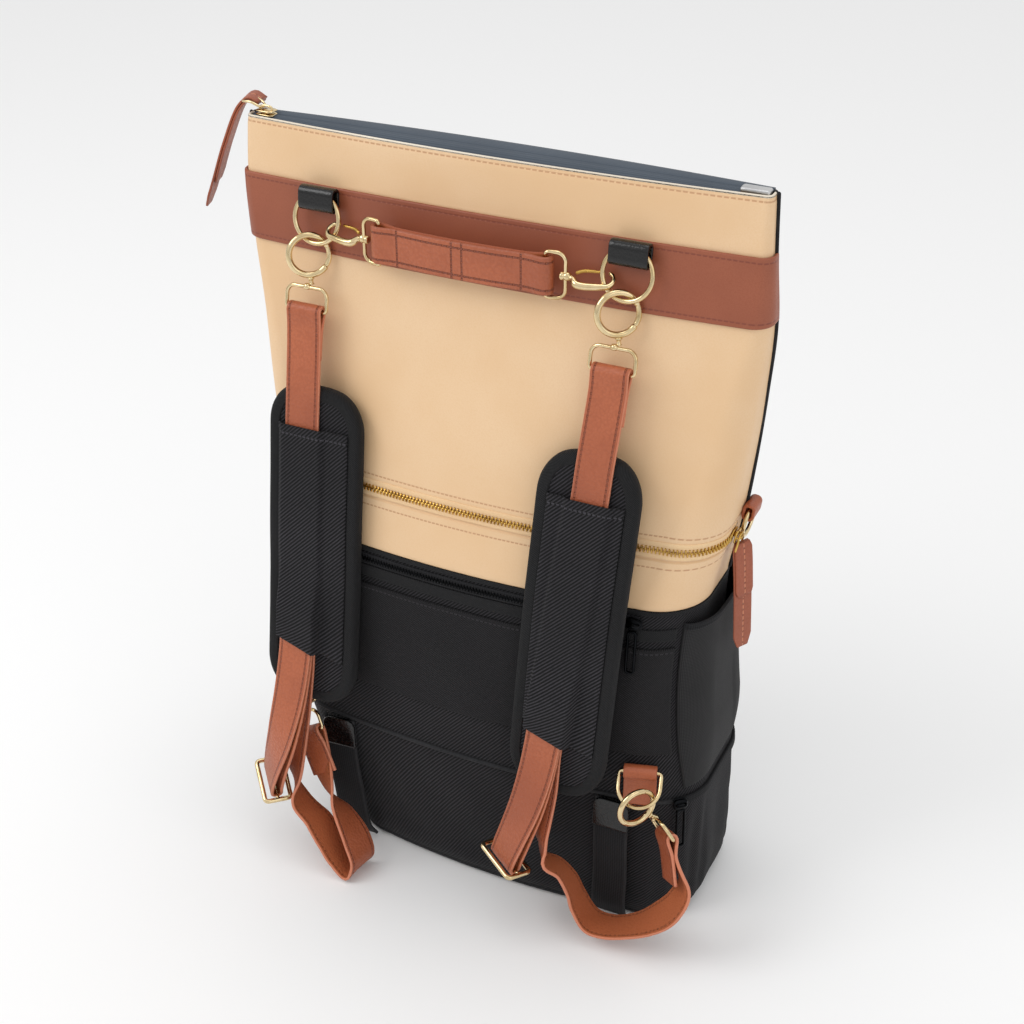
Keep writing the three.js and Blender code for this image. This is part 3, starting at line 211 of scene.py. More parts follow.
def loft(name, rings, uv=None, closed=False, cap="zip", tones=None):
    """A skin over rings of points (rings, points, 3). uv has one more point in each ring."""
    n, m = rings.shape[:2]
    points = rings.reshape(-1, 3)
    if uv is None:
        uv = np.zeros((n, m + 1, 2))
    faces, pairs = [], []
    last = n if closed else n - 1
    for i in range(last):
        k = (i + 1) % n
        for j in range(m):
            q = (j + 1) % m
            faces.append([i * m + j, i * m + q, k * m + q, k * m + j])
            pairs.append([uv[i, j], uv[i, j + 1], uv[k, j + 1], uv[k, j]])
    if not closed:
        for i, flip in ((0, True), (n - 1, False)):
            cells = [list(range(m))]
            if cap == "zip":
                half = m // 2
                cells = [[j, j + 1, m - 2 - j, m - 1 - j] for j in range(half - 1)]
            for cell in cells:
                order = cell[::-1] if flip else cell
                faces.append([i * m + j for j in order])
                pairs.append([uv[i, j] for j in order])
    if signed_volume(points, faces) < 0:
        faces = [f[::-1] for f in faces]
        pairs = [p[::-1] for p in pairs]
    corner_uv = np.concatenate([np.array(p) for p in pairs])
    return mesh_object(name, points, faces, corner_uv, tones)


def join_objects(name, objects):
    """One mesh object from several, with its own name."""
    bpy.ops.object.select_all(action="DESELECT")
    for thing in objects:
        thing.select_set(True)
    bpy.context.view_layer.objects.active = objects[0]
    bpy.ops.object.join()
    objects[0].name = name
    objects[0].data.name = name
    return objects[0]


def dense(low, high, step, extra=()):
    rows = set(np.round(np.linspace(low, high, max(2, int(round((high - low) / step)) + 1)), 4).tolist())
    rows.update(z for z in extra if low < z < high)
    return np.array(sorted(rows))


def as_field(value, place, z):
    return value(place, z) if callable(value) else np.full(np.broadcast(place, z).shape, float(value))


def sheet_on_bag(name, start, end, zs, inner, outer, step=0.12, rim=0.9):
    """A sheet on the bag with rounded rims. Its uv runs to the right and up."""
    places = np.linspace(start, end, max(8, int(abs(end - start) / step)) + 1)
    p, z = np.meshgrid(places, zs, indexing="ij")
    out_a = as_field(outer, p, z)
    out_b = as_field(inner, p, z)
    radius = np.minimum((out_a - out_b) / 2, rim)
    loops, heights = [], []
    body = z.copy()
    body[:, 0] += radius[:, 0]
    body[:, -1] -= radius[:, -1]
    loops.append(bag_point(p, body, out_a))
    heights.append(z)
    for degrees in (35, 65, 90):
        a = math.radians(degrees)
        r = radius[:, -1]
        top = bag_point(places, body[:, -1] + r * math.sin(a), out_a[:, -1] - r + r * math.cos(a))
        loops.append(top[:, None, :])
        heights.append(z[:, -1:])
    for degrees in (90, 65, 35):
        a = math.radians(degrees)
        r = radius[:, -1]
        top = bag_point(places, body[:, -1] + r * math.sin(a), out_b[:, -1] + r - r * math.cos(a))
        loops.append(top[:, None, :])
        heights.append(z[:, -1:])
    loops.append(bag_point(p, body, out_b)[:, ::-1])
    heights.append(z[:, ::-1])
    for side, degree_list in ((out_b, (35, 65, 90)), (out_a, (90, 65, 35))):
        for degrees in degree_list:
            a = math.radians(degrees)
            r = radius[:, 0]
            sign = 1 if side is out_b else -1
            edge = side[:, 0] + sign * (r - r * math.cos(a))
            low = bag_point(places, body[:, 0] - r * math.sin(a), edge)
            loops.append(low[:, None, :])
            heights.append(z[:, :1])
    rings = np.concatenate(loops, axis=1)
    height = np.concatenate(heights, axis=1)
    along = run_lengths(bag_point(places, float(np.mean(zs)), 0))
    along = along[-1] / 2 - along
    m = rings.shape[1]
    uv = np.zeros((len(places), m + 1, 2))
    uv[:, :, 0] = along[:, None]
    uv[:, :m, 1] = height
    uv[:, m, 1] = height[:, 0]
    return loft(name, rings, uv)


def resample(points, count, extras=None, closed=False):
    """Smoothly resamples a path, and extras with it, to points at even spacing."""
    points = np.asarray(points, float)
    data = points if extras is None else np.concatenate([points, np.asarray(extras, float)], axis=1)
    if closed:
        data = np.concatenate([data[-2:], data, data[:3]])
    gaps = np.linalg.norm(np.diff(data[:, :3], axis=0), axis=1)
    knots = np.concatenate([[0], np.cumsum(np.sqrt(gaps))])
    start, end = (knots[2], knots[-3]) if closed else (knots[0], knots[-1])
    fine = spline(knots, data, np.linspace(start, end, 1200))
    lengths = run_lengths(fine[:, :3])
    wanted = np.linspace(0, lengths[-1], count + 1 if closed else count)
    out = np.stack([np.interp(wanted, lengths, fine[:, k]) for k in range(fine.shape[1])], axis=1)
    if closed:
        out = out[:-1]
        wanted = wanted[:-1]
    return out[:, :3], out[:, 3:], wanted


def strip_section(width, thickness, round_off=0.8, rows=9):
    """The outline of a strip across its width: across and up, with rounded edges."""
    r = min(round_off, thickness / 2 - 0.01)
    flat = np.linspace(-width / 2 + r, width / 2 - r, rows)
    arc = [math.radians(a) for a in (25, 55, 85)]
    top = [(x, thickness / 2) for x in flat]
    right = [(width / 2 - r + r * math.sin(a), thickness / 2 - r + r * math.cos(a)) for a in arc]
    lower_right = [(x, -y) for x, y in right[::-1]]
    bottom = [(x, -y) for x, y in top[::-1]]
    left = [(-x, y) for x, y in lower_right[::-1]]
    upper_left = [(-x, y) for x, y in right[::-1]]
    return np.array(top + right + lower_right + bottom + left + upper_left)


def strip(name, path, across, width, thickness, step=2.0, closed=False, round_off=0.8, rows=9,
          widths=None, lift=None):
    """A strap along a path. Its uv runs along it and across it from its middle, and tone is its side."""
    path = np.asarray(path, float)
    across = np.broadcast_to(np.asarray(across, float), path.shape)
    length = np.linalg.norm(np.diff(path, axis=0), axis=1).sum()
    count = max(6, int(length / step))
    at, side, along = resample(path, count, across, closed)
    if closed:
        direction = np.roll(at, -1, axis=0) - np.roll(at, 1, axis=0)
    else:
        direction = np.gradient(at, axis=0)
    direction = unit(direction)
    side = unit(side - direction * np.sum(side * direction, axis=1, keepdims=True))
    normal = np.cross(direction, side)
    shape = strip_section(width, thickness, round_off, rows)
    share = along / max(along[-1], 1e-6)
    scale = np.ones(count) if widths is None else np.interp(share, *widths)
    if lift is not None:
        at = at + normal * np.interp(share, *lift)[:, None]
    rings = (
        at[:, None, :]
        + side[:, None, :] * (shape[None, :, :1] * scale[:, None, None])
        + normal[:, None, :] * shape[None, :, 1:]
    )
    m = len(shape)
    uv = np.zeros((count, m + 1, 2))
    uv[:, :, 0] = along[:, None]
    uv[:, :m, 1] = shape[None, :, 0]
    uv[:, m, 1] = shape[0, 0]
    tones = np.broadcast_to(np.sign(shape[None, :, 1]), (count, m))
    return loft(name, rings, uv, closed, tones=tones)


def tube(name, path, diameter, closed=False, count=None, sides=WIRE_SIDES, diameters=None):
    """A round wire along a path."""
    path = np.asarray(path, float)
    length = np.linalg.norm(np.diff(path, axis=0), axis=1).sum()
    count = count or max(8, int(length / (diameter * 0.35)))
    at, _, along = resample(path, count, None, closed)
    if closed:
        direction = unit(np.roll(at, -1, axis=0) - np.roll(at, 1, axis=0))
    else:
        direction = unit(np.gradient(at, axis=0))
    centre = at.mean(axis=0)
    _, _, axes = np.linalg.svd(at - centre)
    flat = axes[2]
    side = unit(np.cross(direction, flat))
    normal = np.cross(direction, side)
    share = along / max(along[-1], 1e-6)
    scale = np.ones(count) if diameters is None else np.interp(share, *diameters)
    angle = np.linspace(0, 2 * math.pi, sides, endpoint=False)
    rings = at[:, None, :] + (diameter / 2) * scale[:, None, None] * (
        side[:, None, :] * np.cos(angle)[None, :, None] + normal[:, None, :] * np.sin(angle)[None, :, None]
    )
    if not closed:
        rounded = []
        for end, way in ((0, -1), (count - 1, 1)):
            r = diameter / 2 * scale[end]
            for a in (30, 55, 75):
                ring = at[end] + way * direction[end] * r * math.sin(math.radians(a))
                ring = ring + (rings[end] - at[end]) * math.cos(math.radians(a))
                rounded.append(ring)
        rings = np.concatenate([rounded[2::-1], rings, rounded[3:]])
    return loft(name, np.asarray(rings), None, closed, cap="fan")


def turned(name, profile, start, axis, sides=20):
    """A turned shape: profile is distance along the axis and radius."""
    axis = unit(np.asarray(axis, float))
    helper = X_AXIS if abs(axis[0]) < 0.8 else Z_AXIS
    u = unit(np.cross(axis, helper))
    v = np.cross(axis, u)
    angle = np.linspace(0, 2 * math.pi, sides, endpoint=False)
    rings = [
        start + axis * d + r * (np.outer(np.cos(angle), u) + np.outer(np.sin(angle), v)) for d, r in profile
    ]
    return loft(name, np.asarray(rings), None, cap="fan")


def arc_points(cx, cy, radius, start, end, steps):
    angle = np.radians(np.linspace(start, end, steps + 1))
    return np.stack([cx + radius * np.cos(angle), cy + radius * np.sin(angle)], axis=1)


def rounded_rect(width, height, radius, steps=4):
    x, y = width / 2 - radius, height / 2 - radius
    corners = ((x, -y, -90), (x, y, 0), (-x, y, 90), (-x, -y, 180))
    return np.concatenate([arc_points(cx, cy, radius, a, a + 90, steps) for cx, cy, a in corners])


def with_edges(loop, step=3.0):
    """Adds points on the long straight edges of a closed plan loop."""
    out = []
    for a, b in zip(loop, np.roll(loop, -1, axis=0)):
        n = max(1, int(np.linalg.norm(b - a) / step))
        out.extend(a + (b - a) * k / n for k in range(n))
    return np.array(out)


class Pose:
    """A frame with an origin and three axes, as in the solids."""

    def __init__(self, origin, x_axis, y_axis):
        self.origin = np.asarray(origin, float)
        self.x = unit(np.asarray(x_axis, float))
        self.z = unit(np.cross(self.x, np.asarray(y_axis, float)))
        self.y = np.cross(self.z, self.x)

    def at(self, x, y, z=0.0):
        return self.origin + x * self.x + y * self.y + z * self.z

    def plan(self, points, z=0.0):
        points = np.asarray(points, float)
        return self.origin + points[:, :1] * self.x + points[:, 1:2] * self.y + z * self.z


def frame_on(place, z, out):
    along = bag_point(place - 0.1, z, out) - bag_point(place + 0.1, z, out)
    rise = bag_point(place, z + 2, out) - bag_point(place, z - 2, out)
    normal = unit(np.cross(along, rise))
    right = unit(np.cross(Z_AXIS, normal))
    return Pose(bag_point(place, z, out), right, np.cross(normal, right))


# Materials
def srgb(*levels):
    """A linear colour with full alpha, from levels of 0 to 255."""
    linear = [((c / 255 + 0.055) / 1.055) ** 2.4 if c > 10 else c / 255 / 12.92 for c in levels]
    return (*linear, 1.0)


class Look:
    """A material with short calls for its nodes."""

    def __init__(self, name, color, roughness, metallic=0.0, sheen=0.0, specular=0.5):
        self.material = bpy.data.materials.new(name)
        self.material.use_nodes = True
        self.tree = self.material.node_tree
        self.shader = self.tree.nodes["Principled BSDF"]
        self.shader.inputs["Base Color"].default_value = color
        self.shader.inputs["Roughness"].default_value = roughness
        self.shader.inputs["Metallic"].default_value = metallic
        self.shader.inputs["Sheen Weight"].default_value = sheen
        self.shader.inputs["Specular IOR Level"].default_value = specular

    def node(self, kind, sockets=None, **values):
        """A node with its settings, and with numbers or links on its sockets."""
        made = self.tree.nodes.new("ShaderNode" + kind)
        for key, value in values.items():
            setattr(made, key, value)
        for socket, value in (sockets or {}).items():
            self.link(value, made.inputs[socket])
        return made

    def link(self, source, target):
        if hasattr(source, "is_output"):
            self.tree.links.new(source, target)
        else:
            target.default_value = source

    def math(self, operation, a, b=0.0):
        return self.node("Math", {0: a, 1: b}, operation=operation).outputs[0]

    def step(self, value, low, high):
        sockets = {"Value": value, "From Min": low, "From Max": high}
        return self.node("MapRange", sockets, interpolation_type="SMOOTHSTEP").outputs[0]

    def spread(self, value, low, high):
        return self.node("MapRange", {"Value": value, "To Min": low, "To Max": high}).outputs[0]

    def mix(self, factor, a, b):
        return self.node("Mix", {"Factor": factor, "A": a, "B": b}, data_type="RGBA").outputs["Result"]

    def place(self):
        return self.node("TexCoord").outputs["Object"]

    def uv(self):
        split = self.node("SeparateXYZ")
        self.link(self.node("TexCoord").outputs["UV"], split.inputs[0])
        return (
            self.math("MULTIPLY", split.outputs[0], 1000.0),
            self.math("MULTIPLY", split.outputs[1], 1000.0),
        )

    def noise(self, scale, detail=3.0, roughness=0.5):
        sockets = {"Vector": self.place(), "Scale": scale, "Detail": detail, "Roughness": roughness}
        return self.node("TexNoise", sockets).outputs["Fac"]

    def cells(self, scale, smoothness=0.6):
        sockets = {"Vector": self.place(), "Scale": scale, "Smoothness": smoothness}
        return self.node("TexVoronoi", sockets, feature="SMOOTH_F1").outputs["Distance"]

    def tone(self):
        return self.node("Attribute", attribute_name="tone").outputs["Fac"]

    def bump(self, height, distance):
        made = self.node("Bump", {"Strength": 1.0, "Distance": distance, "Height": height})
        self.link(made.outputs[0], self.shader.inputs["Normal"])

    def paint(self, color=None, roughness=None):
        if color is not None:
            self.link(color, self.shader.inputs["Base Color"])
        if roughness is not None:
            self.link(roughness, self.shader.inputs["Roughness"])
        return self.material

    def spread_wave(self, turns):
        half = self.math("MULTIPLY", self.math("COSINE", turns), 0.5)
        return self.math("ADD", half, 0.5)

    def near(self, value, target, reach):
        """1 where value is close to target, falling to 0 at reach."""
        off = self.math("ABSOLUTE", self.math("SUBTRACT", value, target))
        return self.step(off, reach, reach * 0.4)

    def dashes(self, along, pitch):
        """Stitches of a pitch: 1 on the thread, which takes about 0.7 of it, and 0 between."""
        part = self.math("FRACT", self.math("DIVIDE", along, pitch))
        return self.step(self.math("ABSOLUTE", self.math("SUBTRACT", part, 0.5)), 0.43, 0.27)


ROW_REACH = 0.75


def leather(name, color, dark, thread, grain=1.4, depth=0.10, rough=0.5, rows=(), folds=(),
            pitch=3.6, half_width=None, inset=2.6, suede=None, paint=None, ends=()):
    """Leather with a pebbled grain, stitched rows with painted shade in their grooves, creases with painted
    shade along them, and for straps an edge and a rough back.
    """
    look = Look(name, color, rough)
    u, v = look.uv()
    big = look.noise(14, 3)
    fine = look.noise(900, 2)
    pebbles = look.cells(1000 / grain)
    shade = look.mix(look.step(big, 0.25, 0.8), dark, color)
    shade = look.mix(look.step(pebbles, 0.25, 0.75), shade, look.mix(0.35, shade, dark))
    height = look.math("MULTIPLY", pebbles, -1.0)
    height = look.math("ADD", height, look.math("MULTIPLY", fine, 0.15))
    stitch = None
    groove = None
    lines = [(look.near(v, row, ROW_REACH), u) for row in rows]
    if half_width is not None:
        from_edge = look.math("SUBTRACT", half_width, look.math("ABSOLUTE", v))
        lines.append((look.near(from_edge, inset, ROW_REACH), u))
    lines += [(look.near(u, row, ROW_REACH), v) for row in ends]
    for mask, along in lines:
        dash = look.math("MULTIPLY", mask, look.dashes(along, pitch))
        stitch = dash if stitch is None else look.math("MAXIMUM", stitch, dash)
        groove = mask if groove is None else look.math("MAXIMUM", groove, mask)
    for row in folds:
        crease = look.near(v, row, 0.9)
        # Painted shade: the colour along each crease is darkened towards the dark colour.
        shade = look.mix(crease, shade, dark)
        height = look.math("SUBTRACT", height, look.math("MULTIPLY", crease, 5.0))
    if groove is not None:
        # Painted shade: the stitch grooves are darkened part way towards the dark colour.
        shade = look.mix(look.math("MULTIPLY", groove, 0.45), shade, dark)
        shade = look.mix(stitch, shade, thread)
        height = look.math("SUBTRACT", height, look.math("MULTIPLY", groove, 5.0))
        height = look.math("ADD", height, look.math("MULTIPLY", stitch, 3.6))
    rough_out = look.spread(pebbles, rough - 0.08, rough + 0.16)
    if suede is not None:
        back = look.step(look.tone(), 0.2, -0.2)
        fuzz = look.mix(look.noise(420, 4), suede, look.mix(0.5, suede, color))
        shade = look.mix(back, shade, fuzz)
        rough_out = look.math("MAXIMUM", rough_out, look.math("MULTIPLY", back, 0.9))
    if paint is not None:
        shade = look.mix(look.step(from_edge, 0.75, 0.35), shade, paint)
    look.bump(height, depth * 0.001)
    return look.paint(shade, rough_out)


def twill(name, low, high, pitch=2.0, lean=1.0, depth=0.35, stitch_rows=(), thread=None, rough=0.82):
    """A ribbed twill. Its ribs rise to the right for lean 1 and to the left for lean -1."""
    look = Look(name, high, rough, sheen=0.03, specular=0.25)
    u, v = look.uv()
    across = look.math("SUBTRACT", v, look.math("MULTIPLY", u, lean))
    wobble = look.math("MULTIPLY", look.noise(60, 2), pitch * 0.35)
    turns = look.math("MULTIPLY", look.math("ADD", across, wobble), 2 * math.pi / (pitch * 1.414))
    rib = look.spread_wave(turns)
    along = look.math("ADD", v, look.math("MULTIPLY", u, lean))
    yarn_turns = look.math("MULTIPLY", along, 2 * math.pi / (pitch * 0.55))
    yarn = look.spread_wave(look.math("ADD", yarn_turns, look.math("MULTIPLY", turns, 0.5)))
    level = look.math("ADD", look.math("MULTIPLY", rib, 0.8), look.math("MULTIPLY", yarn, 0.2))
    fleck = look.noise(700, 3)
    level_tone = look.math("MULTIPLY", level, look.spread(fleck, 0.55, 1.25))
    shade = look.mix(look.step(level_tone, 0.25, 0.95), low, high)
    patch = look.step(look.noise(9, 3), 0.3, 0.7)
    shade = look.mix(look.math("MULTIPLY", patch, 0.35), shade, low)
    height = level
    for row in stitch_rows:
        mask = look.near(v, row, 0.8)
        dash = look.math("MULTIPLY", mask, look.dashes(u, 3.2))
        height = look.math("SUBTRACT", height, look.math("MULTIPLY", mask, 1.2))
        height = look.math("ADD", height, look.math("MULTIPLY", dash, 1.6))
        # Painted shade: the stitch row's groove is darkened to the low colour.
        shade = look.mix(mask, shade, low)
        shade = look.mix(dash, shade, thread or high)
    look.bump(height, depth * 0.001)
    return look.paint(shade)


def knit(name, low, high, pitch=0.9, depth=0.12, rough=0.85):
    look = Look(name, high, rough, sheen=0.03, specular=0.25)
    u, v = look.uv()
    warp = look.spread_wave(look.math("MULTIPLY", u, 2 * math.pi / pitch))
    weft = look.spread_wave(look.math("MULTIPLY", v, 2 * math.pi / (pitch * 1.3)))
    level = look.math("MULTIPLY", look.math("ADD", warp, weft), 0.5)
    patch = look.noise(30, 4)
    shade = look.mix(look.step(level, 0.1, 0.9), low, high)
    shade = look.mix(look.math("MULTIPLY", look.step(patch, 0.35, 0.75), 0.4), shade, low)
    look.bump(level, depth * 0.001)
    return look.paint(shade)


def metal(name, color, rough, reflection_dark):
    look = Look(name, color, rough, metallic=1.0)
    smear_and_reflection_patches = look.noise(90, 3)
    scratch = look.noise(1400, 2)
    # Painted reflection: in noise patches the colour darkens towards the fourth colour, which stands for dark
    # surroundings reflected in the metal. The same noise also varies roughness and bump.
    shade = look.mix(look.step(smear_and_reflection_patches, 0.35, 0.8), color, reflection_dark)
    rough_out = look.spread(smear_and_reflection_patches, rough * 0.7, rough * 1.5)
    look.bump(look.math("ADD", look.math("MULTIPLY", smear_and_reflection_patches, 3.0), scratch), 0.000003)
    return look.paint(shade, rough_out)


TAN = srgb(232, 199, 160)
TAN_DARK = srgb(225, 187, 143)
BROWN = srgb(156, 86, 58)
BROWN_DARK = srgb(138, 72, 47)
COGNAC = srgb(180, 98, 62)
COGNAC_DARK = srgb(150, 76, 46)
SUEDE = srgb(160, 84, 42)
EDGE_PAINT = srgb(200, 124, 94)
BLACK_LOW = srgb(7, 7, 8)
BLACK_HIGH = srgb(54, 52, 56)

tan_leather = leather("tan_leather", TAN, TAN_DARK, srgb(196, 150, 112), grain=0.9, depth=0.035,
                      rough=0.5, rows=(526.3, 311.5, 289.5), folds=(294.6,))
tan_tape = leather("tan_tape", srgb(238, 206, 160), TAN_DARK, TAN, grain=0.8, depth=0.05, rough=0.7)
band_leather = leather("band_leather", BROWN, BROWN_DARK, srgb(126, 62, 42), grain=0.8, depth=0.03,
                       rough=0.42, rows=(BAND_TOP - 3.2, BAND_BOTTOM + 3.2))
strap_leather = leather("strap_leather", COGNAC, COGNAC_DARK, srgb(142, 70, 44), grain=1.7, depth=0.34,
                        rough=0.42, half_width=STRAP_WIDTH / 2, suede=SUEDE, paint=EDGE_PAINT)
pull_leather = leather("pull_leather", srgb(168, 88, 58), BROWN_DARK, srgb(196, 122, 88), grain=1.5,
                       depth=0.12, rough=0.45, rows=(0.0,), pitch=4.2)
tab_leather = leather("tab_leather", COGNAC, COGNAC_DARK, srgb(214, 140, 104), grain=1.2, depth=0.08,
                      rough=0.4, ends=(-9.0,))
black_leather = leather("black_leather", srgb(9, 9, 10), srgb(5, 5, 6), srgb(24, 24, 27), grain=1.6,
                        depth=0.08, rough=0.2)
body_twill = twill("body_twill", BLACK_LOW, BLACK_HIGH, pitch=1.9, lean=1.0)
panel_twill = twill("panel_twill", BLACK_LOW, srgb(46, 44, 47), pitch=1.05, lean=1.0, depth=0.18,
                    stitch_rows=(PANEL_TOP - 3.0,))
pad_twill = twill("pad_twill", srgb(5, 5, 6), srgb(62, 60, 65), pitch=2.0, lean=1.0, depth=0.4)
sleeve_twill = twill("sleeve_twill", srgb(5, 5, 6), srgb(64, 62, 67), pitch=2.0, lean=1.0, depth=0.4,
                     stitch_rows=(-6.0,))
tape_twill = twill("tape_twill", srgb(10, 10, 11), srgb(46, 46, 48), pitch=1.0, lean=-1.0, depth=0.2)
pocket_knit = knit("pocket_knit", srgb(24, 24, 25), srgb(50, 49, 50))
black_tape = knit("black_tape", srgb(8, 8, 9), srgb(36, 36, 39), pitch=1.3, depth=0.2)
slate_tape = knit("slate_tape", srgb(58, 66, 76), srgb(78, 88, 99), pitch=0.8, depth=0.06, rough=0.55)
# The fourth colour of each metal is its painted dark reflection.
gold = metal("gold", srgb(228, 207, 164), 0.12, srgb(198, 172, 124))
zip_gold = metal("zip_gold", srgb(210, 172, 92), 0.26, srgb(160, 120, 52))
silver = metal("silver", srgb(205, 205, 205), 0.3, srgb(170, 170, 172))
black_metal = metal("black_metal", srgb(26, 27, 29), 0.28, srgb(16, 17, 18))
edge_white = leather("edge_white", srgb(232, 222, 204), srgb(216, 204, 186), TAN, grain=0.7, depth=0.05,
                     rough=0.7)


def finish_piece(thing, look, body, slot, *nodes):
    thing.data.materials.clear()
    thing.data.materials.append(look)
    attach(thing, body)
    if nodes:
        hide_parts(*nodes)
    return thing


# Leather upper on the strap side, with the zip's recess and a raw top edge
def recess(place, z):
    inside = np.clip((z - 294.4) / 0.8, 0, 1) * np.clip((309.5 - z) / 6, 0, 1)
    ends = np.clip((place - 0.4) / 0.2, 0, 1) * np.clip((14.3 - place) / 0.3, 0, 1)
    lip = np.clip((z - 524) / 5, 0, 1) * 0.5
    between = np.clip((z - 320) / 60, 0, 1) * np.clip((440 - z) / 60, 0, 1)
    waves = 0.5 * np.sin(place * 0.9 + z * 0.02) * between
    return -1.1 * inside * ends - lip + waves


upper_rows = dense(258.4, 529.2, 4.0, (293.6, 294.2, 294.6, 295.0, 295.6, 303.5, 306, 309.5, 524, 526.3, 528))
upper = sheet_on_bag("upper_leather", 0.0, LEFT_SEAM, upper_rows, -LEATHER_WALL, recess)
finish_piece(upper, tan_leather, "bag", "tan_leather", "upper_back_panel")
lip_rows = dense(528.2, 530, 0.6)
lip = sheet_on_bag("upper_edge", 0.02, LEFT_SEAM - 0.02, lip_rows, -LEATHER_WALL - 0.1, -0.3, rim=0.8)
finish_piece(lip, edge_white, "bag", "tan_leather")

far_rows = dense(258.4, 530, 4.0)
far = sheet_on_bag("far_panel", LEFT_SEAM + 0.02, PLACES - 0.02, far_rows, -CLOTH_WALL, 0.3)
finish_piece(far, body_twill, "bag", "black_twill", "upper_front_panel")
for side, seam in (("left", LEFT_SEAM + 0.04), ("right", PLACES - 0.04)):
    line = bag_point(np.full(60, seam), np.linspace(262, 529, 60), 0.6)
    piping = tube("seam_piping_" + side, line, 2.6, count=120, sides=10)
    finish_piece(piping, black_tape, "bag", "black_twill")


# Cloth body: the middle and lower boxes with rounded foot
def cloth_box(name, low, high, wall, foot):
    places = np.linspace(0, PLACES, 257)[:-1]
    outer = dense(low, high, 3.0)
    rows = [(z, 0.0) for z in outer] + [(z, -wall) for z in outer[::-1] if z > low + wall + 1]
    rings = np.array([bag_point(places, z, out) for z, out in rows])
    if foot:
        rings[0][:, :2] *= 0.985
    floor = rings[-1].copy()
    rings = np.concatenate([rings, (floor * [0.5, 0.5, 1])[None]])
    along = run_lengths(bag_point(np.append(places, PLACES), (low + high) / 2, 0))
    uv = np.zeros((len(rings), len(places) + 1, 2))
    uv[:, :, 0] = -along[None, :]
    uv[:, :, 1] = np.array([z for z, _ in rows] + [low])[:, None]
    return loft(name, rings, uv, cap="fan")


finish_piece(cloth_box("lower_cloth", 0, LOWER_TOP, CLOTH_WALL, True), body_twill, "bag", "black_twill",
             "lower_compartment")
finish_piece(cloth_box("middle_cloth", LOWER_TOP + GAP, MIDDLE_TOP, CLOTH_WALL, False), body_twill, "bag",
             "black_twill", "middle_body")
around = np.linspace(0, PLACES, 321)[:-1]
for name, z, out, size in (("lower_piping", LOWER_TOP + 0.6, 0.3, 3.2), ("base_piping", 3.5, 0.1, 2.6)):
    piping = tube(name, bag_point(around, np.full(320, float(z)), out), size, closed=True, count=420, sides=8)
    finish_piece(piping, tape_twill, "bag", "black_twill")
hem = sheet_on_bag("upper_hem", 0.1, LEFT_SEAM - 0.1, dense(255.4, 258.6, 0.8), 0.1, 0.9, rim=0.4)
finish_piece(hem, tape_twill, "bag", "black_twill")

# Brown band
band_rows = dense(BAND_BOTTOM, BAND_TOP, 3.0, (BAND_BOTTOM + 1, BAND_TOP - 1))
band = sheet_on_bag("band", 0.1, LEFT_SEAM - 0.1, band_rows, GAP, GAP + LEATHER_WALL, rim=0.9)
finish_piece(band, band_leather, "bag", "brown_leather", "leather_band")

# Top closure: a domed tape between the two panels, with a slider, an end tab and a leather pull
top = section_values(BAG_HEIGHT)
left_x, right_x = top[0], top[1]
closure_rings, closure_uv = [], []
for x in np.linspace(left_x + 3.0, right_x - 3.0, 160):
    t = np.clip((x - left_x) / (right_x - left_x), 0, 1)
    bulge = top[5] * (1 - (2 * t - 1) ** 2)
    y0 = top[2] - bulge + 2.6
    y1 = top[3] + bulge + 0.3
    profile = [(0, 519), (0, 524), (0.1, 527.2), (0.26, 529.2), (0.42, 530.2), (0.5, 529.4), (0.58, 530.2),
               (0.74, 530.4), (0.9, 530.6), (1, 530.4), (1, 519), (0.5, 519)]
    closure_rings.append([(x, y0 + (y1 - y0) * s, z) for s, z in profile])
    closure_uv.append([(x, 14 * s) for s, _ in profile + [profile[0]]])
closure = loft("closure_tape", np.array(closure_rings), np.array(closure_uv), cap="fan")
finish_piece(closure, slate_tape, "bag", "slate_tape", "zip_closure")
closure_y = (top[2] + top[3]) / 2


def slider(name, pose, length, width, look, body, slot, arch=True):
    """A zip slider: two shaped plates, a neck and a bridge."""
    plan = np.array([(-0.5, -0.34), (-0.3, -0.5), (0.3, -0.42), (0.5, -0.3), (0.5, 0.3), (0.3, 0.42),
                     (-0.3, 0.5), (-0.5, 0.34)])
    plan = with_edges(plan * [length, width], 1.0)
    parts = []
    for low in (0.0, 2.4):
        levels = [(0.86, low), (1.0, low + 0.35), (1.0, low + 0.95), (0.86, low + 1.3)]
        rings = np.array([pose.plan(plan * s, z) for s, z in levels])
        parts.append(loft(name + str(low), rings, None, cap="fan"))
    parts.append(turned(name + "neck", [(0.6, 1.6), (3.0, 1.6)], pose.at(0, 0), pose.z))
    if arch:
        bridge = [pose.at(-length * 0.36, 0, 3.0), pose.at(-length * 0.3, 0, 5.2), pose.at(0, 0, 6.0),
                  pose.at(length * 0.3, 0, 5.2), pose.at(length * 0.36, 0, 3.0)]
        parts.append(tube(name + "bridge", bridge, 1.5, count=24))
    return finish_piece(join_objects(name, parts), look, body, slot)


